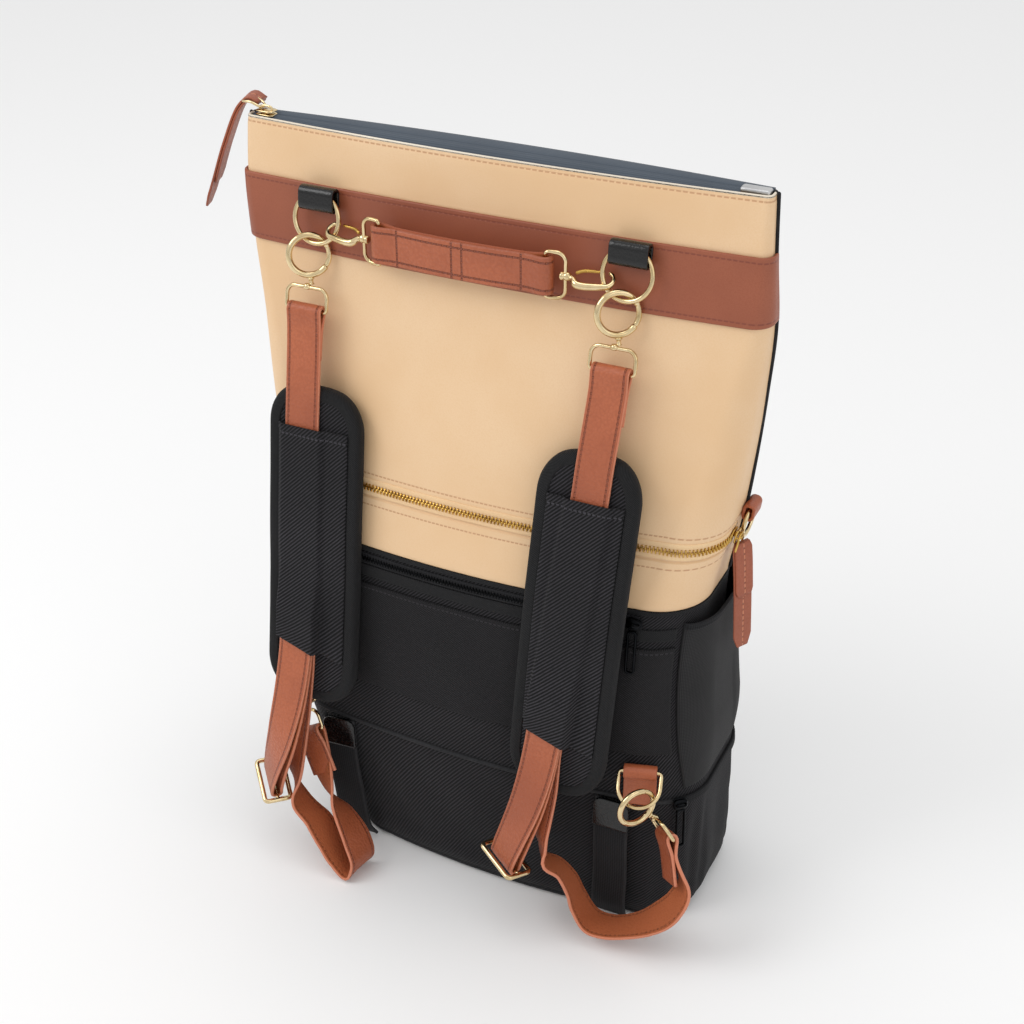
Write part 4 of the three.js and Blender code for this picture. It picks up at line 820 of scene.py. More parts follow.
top_slider_pose = Pose(vec(left_x + 12, closure_y, 529.2), vec(-1, 0, 0), vec(0, -1, 0))
slider("top_slider", top_slider_pose, 13, 9, gold, "bag", "pale_gold")
LINK_ROUTE = [(9, -3, 535.2), (3, -4, 537.6), (-3, -3, 537.0), (-4.5, 0, 536.5), (-3, 3, 537.0),
              (3, 4, 537.6), (9, 3, 535.2), (10, 0, 534.6)]
link = [vec(left_x + x, closure_y + y, z) for x, y, z in LINK_ROUTE]
finish_piece(tube("top_slider_link", link, 1.7, closed=True, count=60), gold, "bag", "pale_gold")
end_plate = Pose(vec(right_x - 12, closure_y, 529.6), vec(1, 0, 0), vec(0, 1, 0))
plate_plan = with_edges(rounded_rect(18, 7.5, 1.4), 2)
plate_levels = ((1, -4), (1, 1.3), (0.94, 1.9), (0.8, 2.1))
plate_rings = np.array([end_plate.plan(plate_plan * s, z) for s, z in plate_levels])
finish_piece(loft("closure_end", plate_rings, None, cap="fan"), silver, "bag", "slate_tape")


# Leather pulls: two thin layers with slanted ends
def leather_pull(name, path, across, width, back_widths, front_widths, node):
    layers = []
    for part, route, size, widths, lift in (
        ("_back", path, width, back_widths, -0.85),
        ("_front", path[:-1], width - 0.6, front_widths, 0.85),
    ):
        raised = ((0, 1), (lift, lift))
        layers.append(strip(name + part, route, across, size, 1.5, widths=widths, lift=raised))
    finish_piece(join_objects(name, layers), pull_leather, "bag", "cognac_leather", node)


top_route = np.array([(0, 0), (0.07, -0.03), (0.15, 0.03), (0.29, 0.31), (0.41, 0.62), (0.49, 0.82)])
pull_start = vec(left_x + 5, -1, 535.5)
pull_path = np.array([pull_start + vec(-a * 92, -0.08 * a * 92, -b * 92) for a, b in top_route])
leather_pull("top_pull", pull_path, vec(-0.25, 1, 0), 17, ((0, 0.9, 1), (0.9, 1, 0.55)),
             ((0, 0.92, 1), (0.9, 1, 0.7)), "top_zip_pull")


# Zips: metal teeth in two rows
def teeth(name, places, z, out, pitch, size, look, slot):
    """Two rows of small rounded teeth along a level line on the bag."""
    line = bag_point(places, z, out)
    along = run_lengths(line)
    count = int(along[-1] / pitch)
    wanted = (np.arange(count) + 0.5) * pitch
    at = np.stack([np.interp(wanted, along, line[:, k]) for k in range(3)], axis=1)
    way = unit(np.gradient(at, axis=0))
    normal = unit(np.cross(Z_AXIS, way))
    if np.dot(normal[len(normal) // 2], vec(0, -1, 0)) < 0:
        normal = -normal
    length, width, height = size
    box = np.array([(x, y, z2) for z2 in (0, 0.7, 1) for x, y in ((-1, -1), (1, -1), (1, 1), (-1, 1))], float)
    box[8:, :2] *= 0.6
    points, faces = [], []
    for i in range(count):
        shift = (0.32 if i % 2 else -0.32) * length
        base = len(points)
        for x, y, z2 in box:
            rise = Z_AXIS * (shift + y * length / 2)
            points.append(at[i] + way[i] * x * width / 2 + rise + normal[i] * z2 * height)
        for low in (0, 4):
            for j in range(4):
                k = (j + 1) % 4
                faces.append([base + low + j, base + low + k, base + low + 4 + k, base + low + 4 + j])
        faces.append([base + 8, base + 9, base + 10, base + 11])
    thing = mesh_object(name, np.array(points), faces)
    thing.data.polygons.foreach_set("use_smooth", [False] * len(thing.data.polygons))
    return finish_piece(thing, look, "bag", slot)


gold_places = np.linspace(0.62, FRONT_END + 1, 240)
tape = sheet_on_bag("gold_zip_tape", 0.5, FRONT_END + 1.1, dense(296.5, 308, 2.0), -0.9, 0.35, rim=0.5)
finish_piece(tape, tan_tape, "bag", "tan_leather", "gold_zip")
teeth("gold_zip_teeth", gold_places, 302.2, 0.35, 1.25, (3.0, 0.95, 1.5), zip_gold, "zip_gold")
gold_pose = frame_on(0.78, GOLD_ZIP_Z, 0.8)
slider("gold_slider", gold_pose, 11, 9.5, zip_gold, "bag", "zip_gold")
GOLD_LINK_ROUTE = [(3, 1.5, 5.2), (5.5, -3, 5.6), (5.5, -9, 5.4), (0, -11.5, 5.2), (-5.5, -9, 5.4),
                   (-5.5, -3, 5.6), (-3, 1.5, 5.2)]
gold_link = [gold_pose.at(*place) for place in GOLD_LINK_ROUTE]
finish_piece(tube("gold_slider_link", gold_link, 1.5, closed=True, count=60), zip_gold, "bag", "zip_gold")
gold_start = bag_point(0.75, GOLD_ZIP_Z, 1.6 + 0.7 + 4.6)
gold_route = np.array([(0, 0), (0.15, 0.02), (0.5, 0.05), (1, 0.08)])
gold_path = np.array([gold_start + vec(b * 78, -0.3 * b * 78, -5 - a * 78) for a, b in gold_route])
leather_pull("gold_pull", gold_path, vec(0.5, 0.87, 0), 15, ((0, 0.06, 0.9, 1), (0.75, 1, 1, 0.6)),
             ((0, 0.1, 0.92, 1), (0.75, 1, 1, 0.7)), "gold_zip_pull")

slider_x = 0.331 * TOP_WIDTH
black_from = place_at_x(slider_x + 4, BLACK_ZIP_Z)
black_to = place_at_x(-0.29 * TOP_WIDTH, BLACK_ZIP_Z)
tape = sheet_on_bag("black_zip_tape", black_from, black_to, dense(246.2, 253.8, 1.5), 0.1, 1.5, rim=0.5)
finish_piece(tape, black_tape, "bag", "black_metal", "black_zip")
teeth("black_zip_teeth", np.linspace(black_from + 0.1, black_to - 0.1, 200), BLACK_ZIP_Z, 1.4, 1.1,
      (2.4, 0.75, 0.9), black_metal, "black_metal")
black_place = place_at_x(slider_x, BLACK_ZIP_Z)
slider("black_slider", frame_on(black_place, BLACK_ZIP_Z, 1.3), 10, 8, black_metal, "bag", "black_metal")
tape = sheet_on_bag("lower_zip_tape", LEFT_SEAM - 3, PLACES + 3.2, dense(105, 111, 1.5), 0.3, 2.1, rim=0.5)
finish_piece(tape, black_tape, "bag", "black_metal", "lower_zip")
teeth("lower_zip_teeth", np.linspace(LEFT_SEAM - 2.9, PLACES + 3.0, 300), LOWER_TOP, 2.0, 1.4,
      (2.6, 0.9, 0.9), black_metal, "black_metal")
slider("lower_slider", frame_on(3.0, LOWER_TOP, 1.6), 10, 8, black_metal, "bag", "black_metal")


def metal_pull(name, place, z, lift, body):
    pose = frame_on(place, z, lift)
    loop = with_edges(rounded_rect(5.4, 30.4, 1.6), 1.5)
    path = pose.plan(loop + [0, 1 - 16])
    outer = strip(name, path, pose.z, 2.0, 1.6, step=0.8, closed=True, round_off=0.5, rows=4)
    return finish_piece(outer, black_metal, body, "black_metal", name.replace("_ring", ""))


pull_lift = 2 * GAP + 1.6 + 0.6 + 1.0
metal_pull("black_zip_pull_ring", black_place, BLACK_ZIP_Z - 3.5 - 2.2, pull_lift, "black_zip_pull")
metal_pull("lower_zip_pull_ring", 3.0, LOWER_TOP - 3 - 2.2, pull_lift, "lower_zip_pull")

# Panel on the strap side and the stretch pockets
panel_rows = dense(PANEL_LOW, PANEL_TOP, 3.0)
panel = sheet_on_bag("sleeve_panel", 3.0, LEFT_SEAM - 3.0, panel_rows, GAP, GAP + PANEL_THICKNESS, rim=0.7)
finish_piece(panel, panel_twill, "bag", "black_twill", "back_sleeve_panel")
flap = sheet_on_bag("panel_hem", 3.0, LEFT_SEAM - 3.0, dense(236.5, 245.2, 1.5), 0.1, 1.2, rim=0.5)
finish_piece(flap, tape_twill, "bag", "black_twill")


POCKET_LOW = 118
POCKET_HIGH = 248


def pocket_bulge(start, end, out):
    """How far the pocket's cloth stands from the bag, moved out a little more."""
    def bulge(place, z):
        around_share = np.clip((place - start) / (end - start), 1e-9, 1 - 1e-9)
        rise = np.minimum(1, (z - POCKET_LOW) / (0.3 * (POCKET_HIGH - POCKET_LOW)))
        return GAP + 8 * np.sqrt(np.sin(math.pi * around_share)) * np.sin(rise * math.pi / 2) + out
    return bulge


for side, start, end in (("right", PLACES - 3.0, PLACES + 2.7), ("left", LEFT_SEAM - 2.7, LEFT_SEAM + 3.0)):
    pocket = sheet_on_bag("pocket_" + side, start, end, dense(POCKET_LOW, POCKET_HIGH, 3.0),
                          pocket_bulge(start, end, 0), pocket_bulge(start, end, 1.6), step=0.08, rim=0.7)
    finish_piece(pocket, pocket_knit, "bag", "black_knit", "side_pocket_" + side)
    trim = sheet_on_bag("pocket_trim_" + side, start, end, dense(243.5, 248.4, 1.2),
                        pocket_bulge(start, end, -0.3), pocket_bulge(start, end, 2.1), step=0.08, rim=0.9)
    finish_piece(trim, black_tape, "bag", "black_knit")

# Black strips at the foot, each with a glossy rounded tab: height, place across and standoff
STRIPS = {
    "left": [(1, -0.292, 0.12), (0.7, -0.286, 1.3), (0.4, -0.272, 2.2), (0.15, -0.26, 2.4),
             (0.04, -0.256, 1.6)],
    "right": [(1, 0.303, 0.13), (0.7, 0.303, 0.7), (0.4, 0.303, 0.7), (0.15, 0.303, 0.8), (0.04, 0.303, 0.9)],
}
for side, rows in STRIPS.items():
    path = []
    for height, x, standoff in rows:
        z = height * 106
        edges = [front_y(x * TOP_WIDTH + s * 25, z) for s in (-0.5, 0, 0.5)]
        path.append(vec(x * TOP_WIDTH, min(edges) - standoff * 3 - 1.5, z))
    path = np.array(path)
    web = strip("foot_strip_" + side, path, X_AXIS, 24, 2.2, round_off=1.0)
    finish_piece(web, black_tape, "bag", "black_leather", "bottom_strip_" + side)
    cords = []
    for sign in (-1, 1):
        cords.append(tube("c%d" % sign, path + X_AXIS * sign * 11.4, 2.6, count=90, sides=8))
    finish_piece(join_objects("foot_strip_edges_" + side, cords), tape_twill, "bag", "black_leather")
    tab_path, _, _ = resample(path, 60)
    tab_path = tab_path[:14]
    tab = strip("foot_tab_" + side, tab_path + vec(0, -1.6, 1.2), X_AXIS, 26, 2.2, step=1.0, round_off=1.0,
                widths=((0, 0.1, 0.22, 1), (0.62, 0.9, 1, 1)))
    finish_piece(tab, black_leather, "bag", "black_leather")


# Rings, wires and tabs
def folded_tab(name, pose, width, depth, height, tail, look, slot, node):
    """A tab folded round a bar. Its frame has X across, Y to the inside and Z up."""
    across = depth - TAB_LEATHER
    loop = with_edges(rounded_rect(across, height - TAB_LEATHER, across * 0.42, 6), 1.5)
    loop = np.roll(loop, len(loop) // 4, axis=0)
    path = pose.origin + np.outer(loop[:, 0] - depth / 2, pose.y) + np.outer(loop[:, 1], pose.z)
    parts = [strip(name + "_loop", path, pose.x, width, TAB_LEATHER, step=0.9, closed=True, round_off=0.7)]
    if tail:
        low = [pose.at(0, -1.0, TAB_LEATHER - height / 2 - k * tail / 6) for k in range(7)]
        parts.append(strip(name + "_tail", low, pose.x, width, TAB_LEATHER, step=1.0))
    return finish_piece(join_objects(name, parts), look, "bag", slot, node)


def ring_piece(name, pose, outer, wire, node):
    circle = arc_points(0, 0, (outer - wire) / 2, 0, 360, 90)[:-1]
    made = tube(name, pose.plan(circle), wire, closed=True, count=100, sides=18)
    return finish_piece(made, gold, "bag", "pale_gold", node)


def gate_ring(side, pose):
    radius = (SPRING_RING - SPRING_WIRE) / 2
    slack = math.degrees(0.7 / radius)
    arc = arc_points(0, 0, radius, 22 + slack, 320 - slack, 80)
    body = tube("body", pose.plan(arc), SPRING_WIRE, count=90, sides=18)
    start = pose.at(0, -radius - 1.2)
    post = turned("post", [(0, 1.3), (0.4, 2.1), (1.3, 2.3), (1.8, 1.5), (3.0, 1.3), (4.2, 1.4), (4.9, 2.1)],
                  start, -pose.y)
    ring = join_objects("spring_ring_" + side, [body, post])
    finish_piece(ring, gold, "bag", "pale_gold", "gate_ring_" + side)
    gate_arc = arc_points(0, 0, radius, 21, -33, 30)
    gate = tube("spring_gate_" + side, pose.plan(gate_arc), 3.5, count=40, sides=16)
    finish_piece(gate, gold, "gate_" + side, "pale_gold", "gate_" + side)


LOOP_HALF = (STRAP_WIDTH + 1.6 + LOOP_WIRE) / 2


def loop_parts(pose, height):
    shoulder = height * 0.47
    plan = np.concatenate([
        arc_points(-LOOP_HALF + 2, 2 - height, 2, 180, 270, 5),
        arc_points(LOOP_HALF - 2, 2 - height, 2, 270, 360, 5),
        arc_points(LOOP_HALF - 6, -shoulder, 6, 0, 80, 6),
        arc_points(-LOOP_HALF + 6, -shoulder, 6, 100, 180, 6),
    ])
    wire = tube("wire", pose.plan(with_edges(plan, 3)), LOOP_WIRE, closed=True, count=110)
    profile = [(-3.5, 1.8), (-3.0, 2.5), (-1.8, 2.75), (-0.7, 2.4), (0, 1.9), (0.35, 1.2)]
    return [wire, turned("eye", profile, pose.origin, pose.y)]


def swivel_loop(side, pose):
    made = join_objects("strap_loop_" + side, loop_parts(pose, 17))
    finish_piece(made, gold, "bag", "pale_gold", "swivel_loop_" + side)


# Upper rings and their tabs
clusters = {}
bars = {}
EYE_DROP = SPRING_RING / 2 + 3.4 + GAP
RING_RADIUS = (ROUND_RING - ROUND_WIRE) / 2
TAB_SLACK = 2.6
for side, sign, lean in (("left", -1, -7), ("right", 1, -5)):
    x = -12 + sign * 106
    rise = RING_RADIUS - math.sqrt(RING_RADIUS**2 - (STRAP_WIDTH / 2) ** 2)
    tab_depth = ROUND_WIRE + 2 * TAB_LEATHER + TAB_SLACK
    tab_height = rise + tab_depth
    tab_z = BAND_TOP - tab_height / 2 + 1

    def surface(z, x=x):
        return min(front_y(x + s * STRAP_WIDTH, z) for s in (-0.5, 0, 0.5)) - GAP - LEATHER_WALL - GAP

    up = unit(vec(0, surface(tab_z + 6) - surface(tab_z - 6), 12))
    inward = np.cross(up, X_AXIS)
    origin = vec(x, surface(tab_z), tab_z)
    folded_tab("holder_" + side, Pose(origin, X_AXIS, inward), STRAP_WIDTH, tab_depth, tab_height, 0,
               black_leather, "black_leather", "ring_tab_" + side)
    tilt = unit(up + inward * 0.11)
    inset = TAB_LEATHER + ROUND_WIRE / 2 + 0.8
    wire_top = origin - inward * (tab_depth - inset) + up * (tab_height / 2 - inset)
    center = wire_top - tilt * RING_RADIUS
    ring_piece("round_ring_" + side, Pose(center, X_AXIS, tilt), ROUND_RING, ROUND_WIRE, "o_ring_" + side)
    clusters[side] = (center, tilt)
    hang_down = (ROUND_RING + SPRING_RING) / 2 - ROUND_WIRE - SPRING_WIRE - 1.5
    middle = center + vec(lean / 2, 0, 0) - tilt * hang_down - inward * 1.2
    yaw = math.radians(36)
    gate_ring("upper_" + side, Pose(middle, vec(math.cos(yaw), math.sin(yaw), 0), tilt))
    eye = middle - tilt * EYE_DROP
    swivel_loop("upper_" + side, Pose(eye, X_AXIS, tilt))
    bars[side] = eye - tilt * 17

# Shoulder pads, as centre lines in shares of the bag's height and width
PAD_ROUTES = {
    "left": [(0, 0.694, -0.31, 5), (0.3, 0.566, -0.31, 4.5), (0.7, 0.39, -0.314, 6), (1, 0.257, -0.318, 16)],
    "right": [(0, 0.691, 0.24, 6), (0.3, 0.549, 0.229, 4.5), (0.7, 0.36, 0.213, 5), (1, 0.218, 0.201, 10)],
}
STRAP_OFFSETS = {"left": [(0, -8), (1, -8)], "right": [(0, 3), (0.1, 3), (0.85, -8), (1, -8)]}
PAD_END = 0.12
SLEEVE_FOOT = 0.82
PAD_FACE = PAD_THICKNESS / 2
FIRST_LAYER = PAD_FACE + GAP + STRAP_THICKNESS / 2
RETURN_SHARE = 0.74
pad_lines = {}
for side, rows in PAD_ROUTES.items():
    rows = np.array(rows)
    shares = np.linspace(0, 1, 41)
    values = spline(rows[:, 0], rows[:, 1:], shares)
    line = []
    for height, x, standoff in values:
        z = height * BAG_HEIGHT
        edges = [front_y(x * TOP_WIDTH + part * PAD_WIDTH, z) for part in (-0.5, -0.25, 0, 0.25, 0.5)]
        line.append((x * TOP_WIDTH, min(edges) - standoff - PAD_THICKNESS / 2, z))
    line = np.array(line)
    knots = np.concatenate([[-0.2], shares, [1.2]])
    ends = [line[0] - (line[1] - line[0]) * 8, line[-1] + (line[-1] - line[-2]) * 8]
    pad_lines[side] = (knots, np.concatenate([[ends[0]], line, [ends[1]]]))


def pad_point(side, share, u, n):
    knots, line = pad_lines[side]
    share, u, n = np.broadcast_arrays(np.asarray(share, float), np.asarray(u, float), np.asarray(n, float))

    def at(s):
        return np.stack([np.interp(s, knots, line[:, k]) for k in range(3)], axis=-1)

    along = at(share + 0.06) - at(share - 0.06)
    along[..., 0] = 0
    normal = np.cross(unit(along), X_AXIS)
    return at(share) + u[..., None] * X_AXIS + n[..., None] * normal


def pad_half(share):
    inner = np.clip(np.minimum(share, 1 - share) / PAD_END, 0, 1)
    return (PAD_WIDTH / 2) * (0.3 + 0.7 * np.sqrt(1 - (1 - inner) ** 2))


def offset_at(side, share):
    rows = np.array(STRAP_OFFSETS[side])
    return np.interp(share, rows[:, 0], rows[:, 1])


def layers_at(share):
    return np.interp(share, [0, 0.6, 0.72, 1], [0, 0, 2, 2])


for side in ("left", "right"):
    knots, line = pad_lines[side]
    length = float(np.linalg.norm(np.diff(line[1:-1], axis=0), axis=1).sum())
    shares = np.concatenate([np.linspace(0.008, PAD_END, 14), np.linspace(PAD_END, 1 - PAD_END, 60)[1:-1],
                             1 - np.linspace(PAD_END, 0.008, 14)])
    across_share = np.linspace(-1, 1, 35)
    half = pad_half(shares) - 1.2
    crown = 1 - np.abs(across_share) ** 6
    ends = np.clip(np.minimum(shares, 1 - shares) / 0.03, 0.45, 1)
    u = half[:, None] * across_share[None, :]
    wave = 0.35 * np.sin(shares[:, None] * 40 + u * 0.06)
    front = (PAD_FACE - 0.9 + 0.9 * crown[None, :]) * ends[:, None] + np.minimum(wave, 0)
    back = -(PAD_FACE - 0.8 + 2.0 * crown[None, :]) * ends[:, None] + wave
    top_face = pad_point(side, shares[:, None], u, front)
    low_face = pad_point(side, shares[:, None], u, back)[:, ::-1]
    rings = np.concatenate([top_face, low_face], axis=1)
    uv = np.zeros((len(shares), rings.shape[1] + 1, 2))
    uv[:, :-1, 0] = np.concatenate([u, u[:, ::-1]], axis=1)
    uv[:, -1, 0] = u[:, 0]
    uv[:, :, 1] = -shares[:, None] * length
    pad = loft("cushion_" + side, rings, uv)
    finish_piece(pad, pad_twill, "bag", "black_twill", "pad_" + side)

    side_shares = np.concatenate([np.linspace(0, PAD_END, 16), np.linspace(PAD_END, 1 - PAD_END, 50)[1:-1],
                                  1 - np.linspace(PAD_END, 0, 16)])
    right_line = np.stack([pad_half(side_shares), side_shares * length], axis=1)
    outline = np.concatenate([right_line, right_line[::-1] * [-1, 1]])
    smooth, _, around_at = resample(np.column_stack([outline, np.zeros(len(outline))]), 260, None, True)
    smooth = smooth[:, :2]
    for _ in range(3):
        smooth = 0.5 * smooth + 0.25 * (np.roll(smooth, 1, axis=0) + np.roll(smooth, -1, axis=0))
    way = unit(np.roll(smooth, -1, axis=0) - np.roll(smooth, 1, axis=0))
    inward2 = np.stack([-way[:, 1], way[:, 0]], axis=1)
    t = PAD_FACE
    section = np.array([
        (8.6, t - 0.1), (8.3, t + 0.45), (7.6, t + 0.6), (4, t + 0.7), (1.6, t + 0.3), (0.3, t - 1.2),
        (-0.2, 1.5), (-0.3, -0.5), (0.2, -t + 1), (1.4, -t - 0.4), (4, -t - 1.2), (7.6, -t - 1.7),
        (8.4, -t - 1.4), (8.6, -t - 0.6), (7, -t + 1), (3, -1), (3, 1), (7, t - 1.2),
    ])
    flat = smooth[:, None, :] + inward2[:, None, :] * section[None, :, :1]
    n = np.broadcast_to(section[None, :, 1], flat.shape[:2])
    rings = pad_point(side, flat[..., 1] / length, flat[..., 0], n)
    across_at = run_lengths(section)
    uv = np.zeros((len(smooth), len(section) + 1, 2))
    uv[:, :, 0] = around_at[:, None]
    uv[:, :, 1] = np.append(across_at, across_at[-1] + 4)[None, :]
    binding = loft("pad_binding_" + side, rings, uv, closed=True)
    finish_piece(binding, tape_twill, "bag", "black_twill")

    shares = np.linspace(PAD_END, SLEEVE_FOOT, 90)
    part = (shares - PAD_END) / (SLEEVE_FOOT - PAD_END)
    u = np.linspace(-26, 26, 53)
    offset = offset_at(side, shares)
    roof = FIRST_LAYER + STRAP_THICKNESS / 2 + layers_at(shares + 0.02) * LAYER_STEP + 0.5
    low = PAD_FACE + 0.7
    away = np.abs(u[None, :] - offset[:, None])
    side_rise = np.clip((17.6 - away) / 3.6, 0, 1)
    side_rise = side_rise**2 * (3 - 2 * side_rise)
    ease = np.clip((26 - np.abs(u)) / 2.5, 0, 1)[None, :]
    inner = low + (roof[:, None] - low) * side_rise
    ripple = 0.25 * np.sin(shares[:, None] * 46 + u[None, :] * 0.12) * ease
    outer = inner + 1.3 * np.sqrt(0.25 + 0.75 * ease) + np.maximum(ripple, 0)
    hem = np.exp(-(((part * (SLEEVE_FOOT - PAD_END) * length - 2.0) / 2.2) ** 4)) * 0.5
    outer = outer + hem[:, None]
    shifted = shares[:, None] + 0.035 * (part**6)[:, None] * u[None, :] / 26
    rings = np.concatenate([pad_point(side, shifted, u[None, :], outer),
                            pad_point(side, shifted, u[None, :], inner)[:, ::-1]], axis=1)
    uv = np.zeros((len(shares), rings.shape[1] + 1, 2))
    uv[:, :-1, 0] = np.concatenate([u, u[::-1]])[None, :]
    uv[:, -1, 0] = u[0]
    uv[:, :, 1] = (PAD_END - shares)[:, None] * length
    sleeve = loft("sleeve_" + side, rings, uv)
    finish_piece(sleeve, sleeve_twill, "bag", "black_knit", "pad_sleeve_" + side)

# Buckles: a slider with two slots
BUCKLES = {
    "left": ((-0.403, -0.71, 0.111), (-0.29, 0.29, -0.91), (0.62, -0.67, -0.41)),
    "right": ((0.128, -0.754, 0.115), (-0.25, -0.05, -0.97), (0.84, -0.51, -0.2)),
}
SHARE_OF_BAG = vec(TOP_WIDTH, BASE_DEPTH, BAG_HEIGHT)
frames = {}
for side, (at, along, wide) in BUCKLES.items():
    along = unit(vec(*along))
    wide = vec(*wide)
    wide = unit(wide - along * np.dot(wide, along))
    normal = np.cross(along, wide)
    center = vec(*at) * SHARE_OF_BAG
    pose = Pose(center, wide, normal)
    frame_loop = with_edges(rounded_rect(33.6, 18.8, 2.6), 2)
    outer = tube("outer", pose.plan(frame_loop), 3.5, closed=True, count=120)
    bar = tube("bar", [pose.at(-16, 0), pose.at(0, 0), pose.at(16, 0)], LOOP_WIRE, count=20)
    strap_slider = join_objects("strap_slider_" + side, [outer, bar])
    finish_piece(strap_slider, gold, "bag", "pale_gold", "buckle_" + side)
    frames[side] = (center, along, wide, normal)


def fold_over(bar, away, back, tail):
    half = (STRAP_THICKNESS + 0.4) / 2
    radius = 1.3 + 0.7 + STRAP_THICKNESS / 2
    points = [bar + away * tail + back * half, bar + away * 11 + back * half]
    for degrees in (0, 45, 90, 135, 180):
        a = math.radians(degrees)
        points.append(bar - away * radius * math.sin(a) + back * radius * math.cos(a))
    points.append(bar + away * 11 - back * half)
    return points


def strap_piece(name, path, node):
    at = np.array([p for p, _ in path])
    across = np.array([a for _, a in path])
    made = strip(name, at, across, STRAP_WIDTH, STRAP_THICKNESS, step=1.8, round_off=0.9)
    return finish_piece(made, strap_leather, "bag", "cognac_leather", node)


PAD_MIDDLE = (0.12, 0.24, 0.36, 0.48, 0.6, 0.72, 0.82)
for side in ("left", "right"):
    def on_pad(share, layers, side=side):
        return pad_point(side, share, offset_at(side, share), FIRST_LAYER + layers * LAYER_STEP)

    bar = bars[side]
    away = on_pad(0.02, 0) - bar
    away[0] *= 0.4
    away = unit(away)
    back = np.cross(X_AXIS, away)
    center, along, wide, normal = frames[side]
    reach = 1.2 + 1 + STRAP_THICKNESS / 2
    exit_at = on_pad(SLEEVE_FOOT, 0)
    exit_along = unit(on_pad(0.86, 0) - on_pad(0.78, 0))
    span = np.linalg.norm(exit_at - center)

    def between(part, layers, buckle_offset):
        ease = part * part * (3 - 2 * part)
        start = on_pad(SLEEVE_FOOT, layers) + exit_along * span * part
        end = center + normal * buckle_offset - along * span * (1 - part)
        at = start + (end - start) * ease + vec(0, -3 * math.sin(math.pi * part), 0)
        return at, X_AXIS + (wide - X_AXIS) * ease

    path = [(p, X_AXIS) for p in fold_over(bar, away, back, 32)]
    path += [(on_pad(s, layers_at(s)), X_AXIS) for s in (0.02,) + PAD_MIDDLE]
    path += [between(part, 2, reach) for part in (0.25, 0.5, 0.75, 0.93)]
    for degrees in (30, 65, 90, 115, 150):
        a = math.radians(degrees)
        path.append((center + normal * reach * math.cos(a) + along * reach * math.sin(a), wide))
    path += [between(part, 1, -reach) for part in (0.93, 0.75, 0.5, 0.25)]
    path += [(on_pad(SLEEVE_FOOT, 1), X_AXIS), (on_pad(RETURN_SHARE, 1), X_AXIS)]
    strap_piece("leather_strap_upper_" + side, path, "strap_upper_" + side)

# Lower rings with their tabs
D_ROWS = {
    "left": (FRONT_END + 1, 22, 2 * GAP + PANEL_THICKNESS, 20, (0, -9, -28), 22, -90, (0.5, -0.3, -0.8),
             (0.82, -0.1, 0.56)),
    "right": (FRONT_START - 0.6, 0, GAP, 48, (5, -18, -15), 54, -45, (0.6, 0, -0.8), (0.586, -0.684, 0.44)),
}
lower_loops = {}
for side, (place, raised, lift_out, tilt, ring_at, yaw, post_angle, loop_way, bar_way) in D_ROWS.items():
    bar_z = LOWER_TOP + 36 - 8 + raised
    pose = frame_on(place, bar_z, lift_out)
    depth = THIN_WIRE + 2 * TAB_LEATHER + 1.8
    size = THIN_WIRE + 2 * TAB_LEATHER + 3
    tab_pose = Pose(pose.origin, pose.x, -pose.z)
    folded_tab("d_holder_" + side, tab_pose, 22.4, depth, size, 36 - size, tab_leather, "cognac_leather",
               "d_tab_" + side)
    half = (D_WIDTH - THIN_WIRE) / 2
    drop = D_HEIGHT - THIN_WIRE - half
    shape = np.concatenate([
        arc_points(-half + 2, -2, 2, 180, 90, 4),
        arc_points(half - 2, -2, 2, 90, 0, 4),
        arc_points(0, -drop, half, 0, -180, 24),
    ])
    lift = 2 + 1.4 + 0.9
    a = math.radians(-tilt)
    turned_shape = np.array([pose.at(x, y * math.cos(a), y * math.sin(a) + lift) for x, y in shape])
    d_ring = tube("dee_" + side, turned_shape, THIN_WIRE, closed=True, count=110)
    finish_piece(d_ring, gold, "bag", "pale_gold", "d_ring_" + side)
    center = pose.at(0, 0, lift) + vec(*ring_at)
    sideways = vec(math.cos(math.radians(yaw)), math.sin(math.radians(yaw)), 0)
    angle = math.radians(post_angle)
    post = sideways * math.cos(angle) + vec(0, 0, math.sin(angle))
    normal = np.cross(sideways, Z_AXIS)
    gate_ring("lower_" + side, Pose(center, np.cross(-post, normal), -post))
    hang = unit(vec(*loop_way))
    turn = np.linalg.norm(np.cross(post, hang))
    eye = center + post * (EYE_DROP + (LOOP_WIRE + GAP) * turn) + hang * (-1.7) * turn
    bar_axis = vec(*bar_way)
    bar_axis = unit(bar_axis - hang * np.dot(bar_axis, hang))
    swivel_loop("lower_" + side, Pose(eye, bar_axis, -hang))
    lower_loops[side] = (eye + hang * 17, bar_axis)

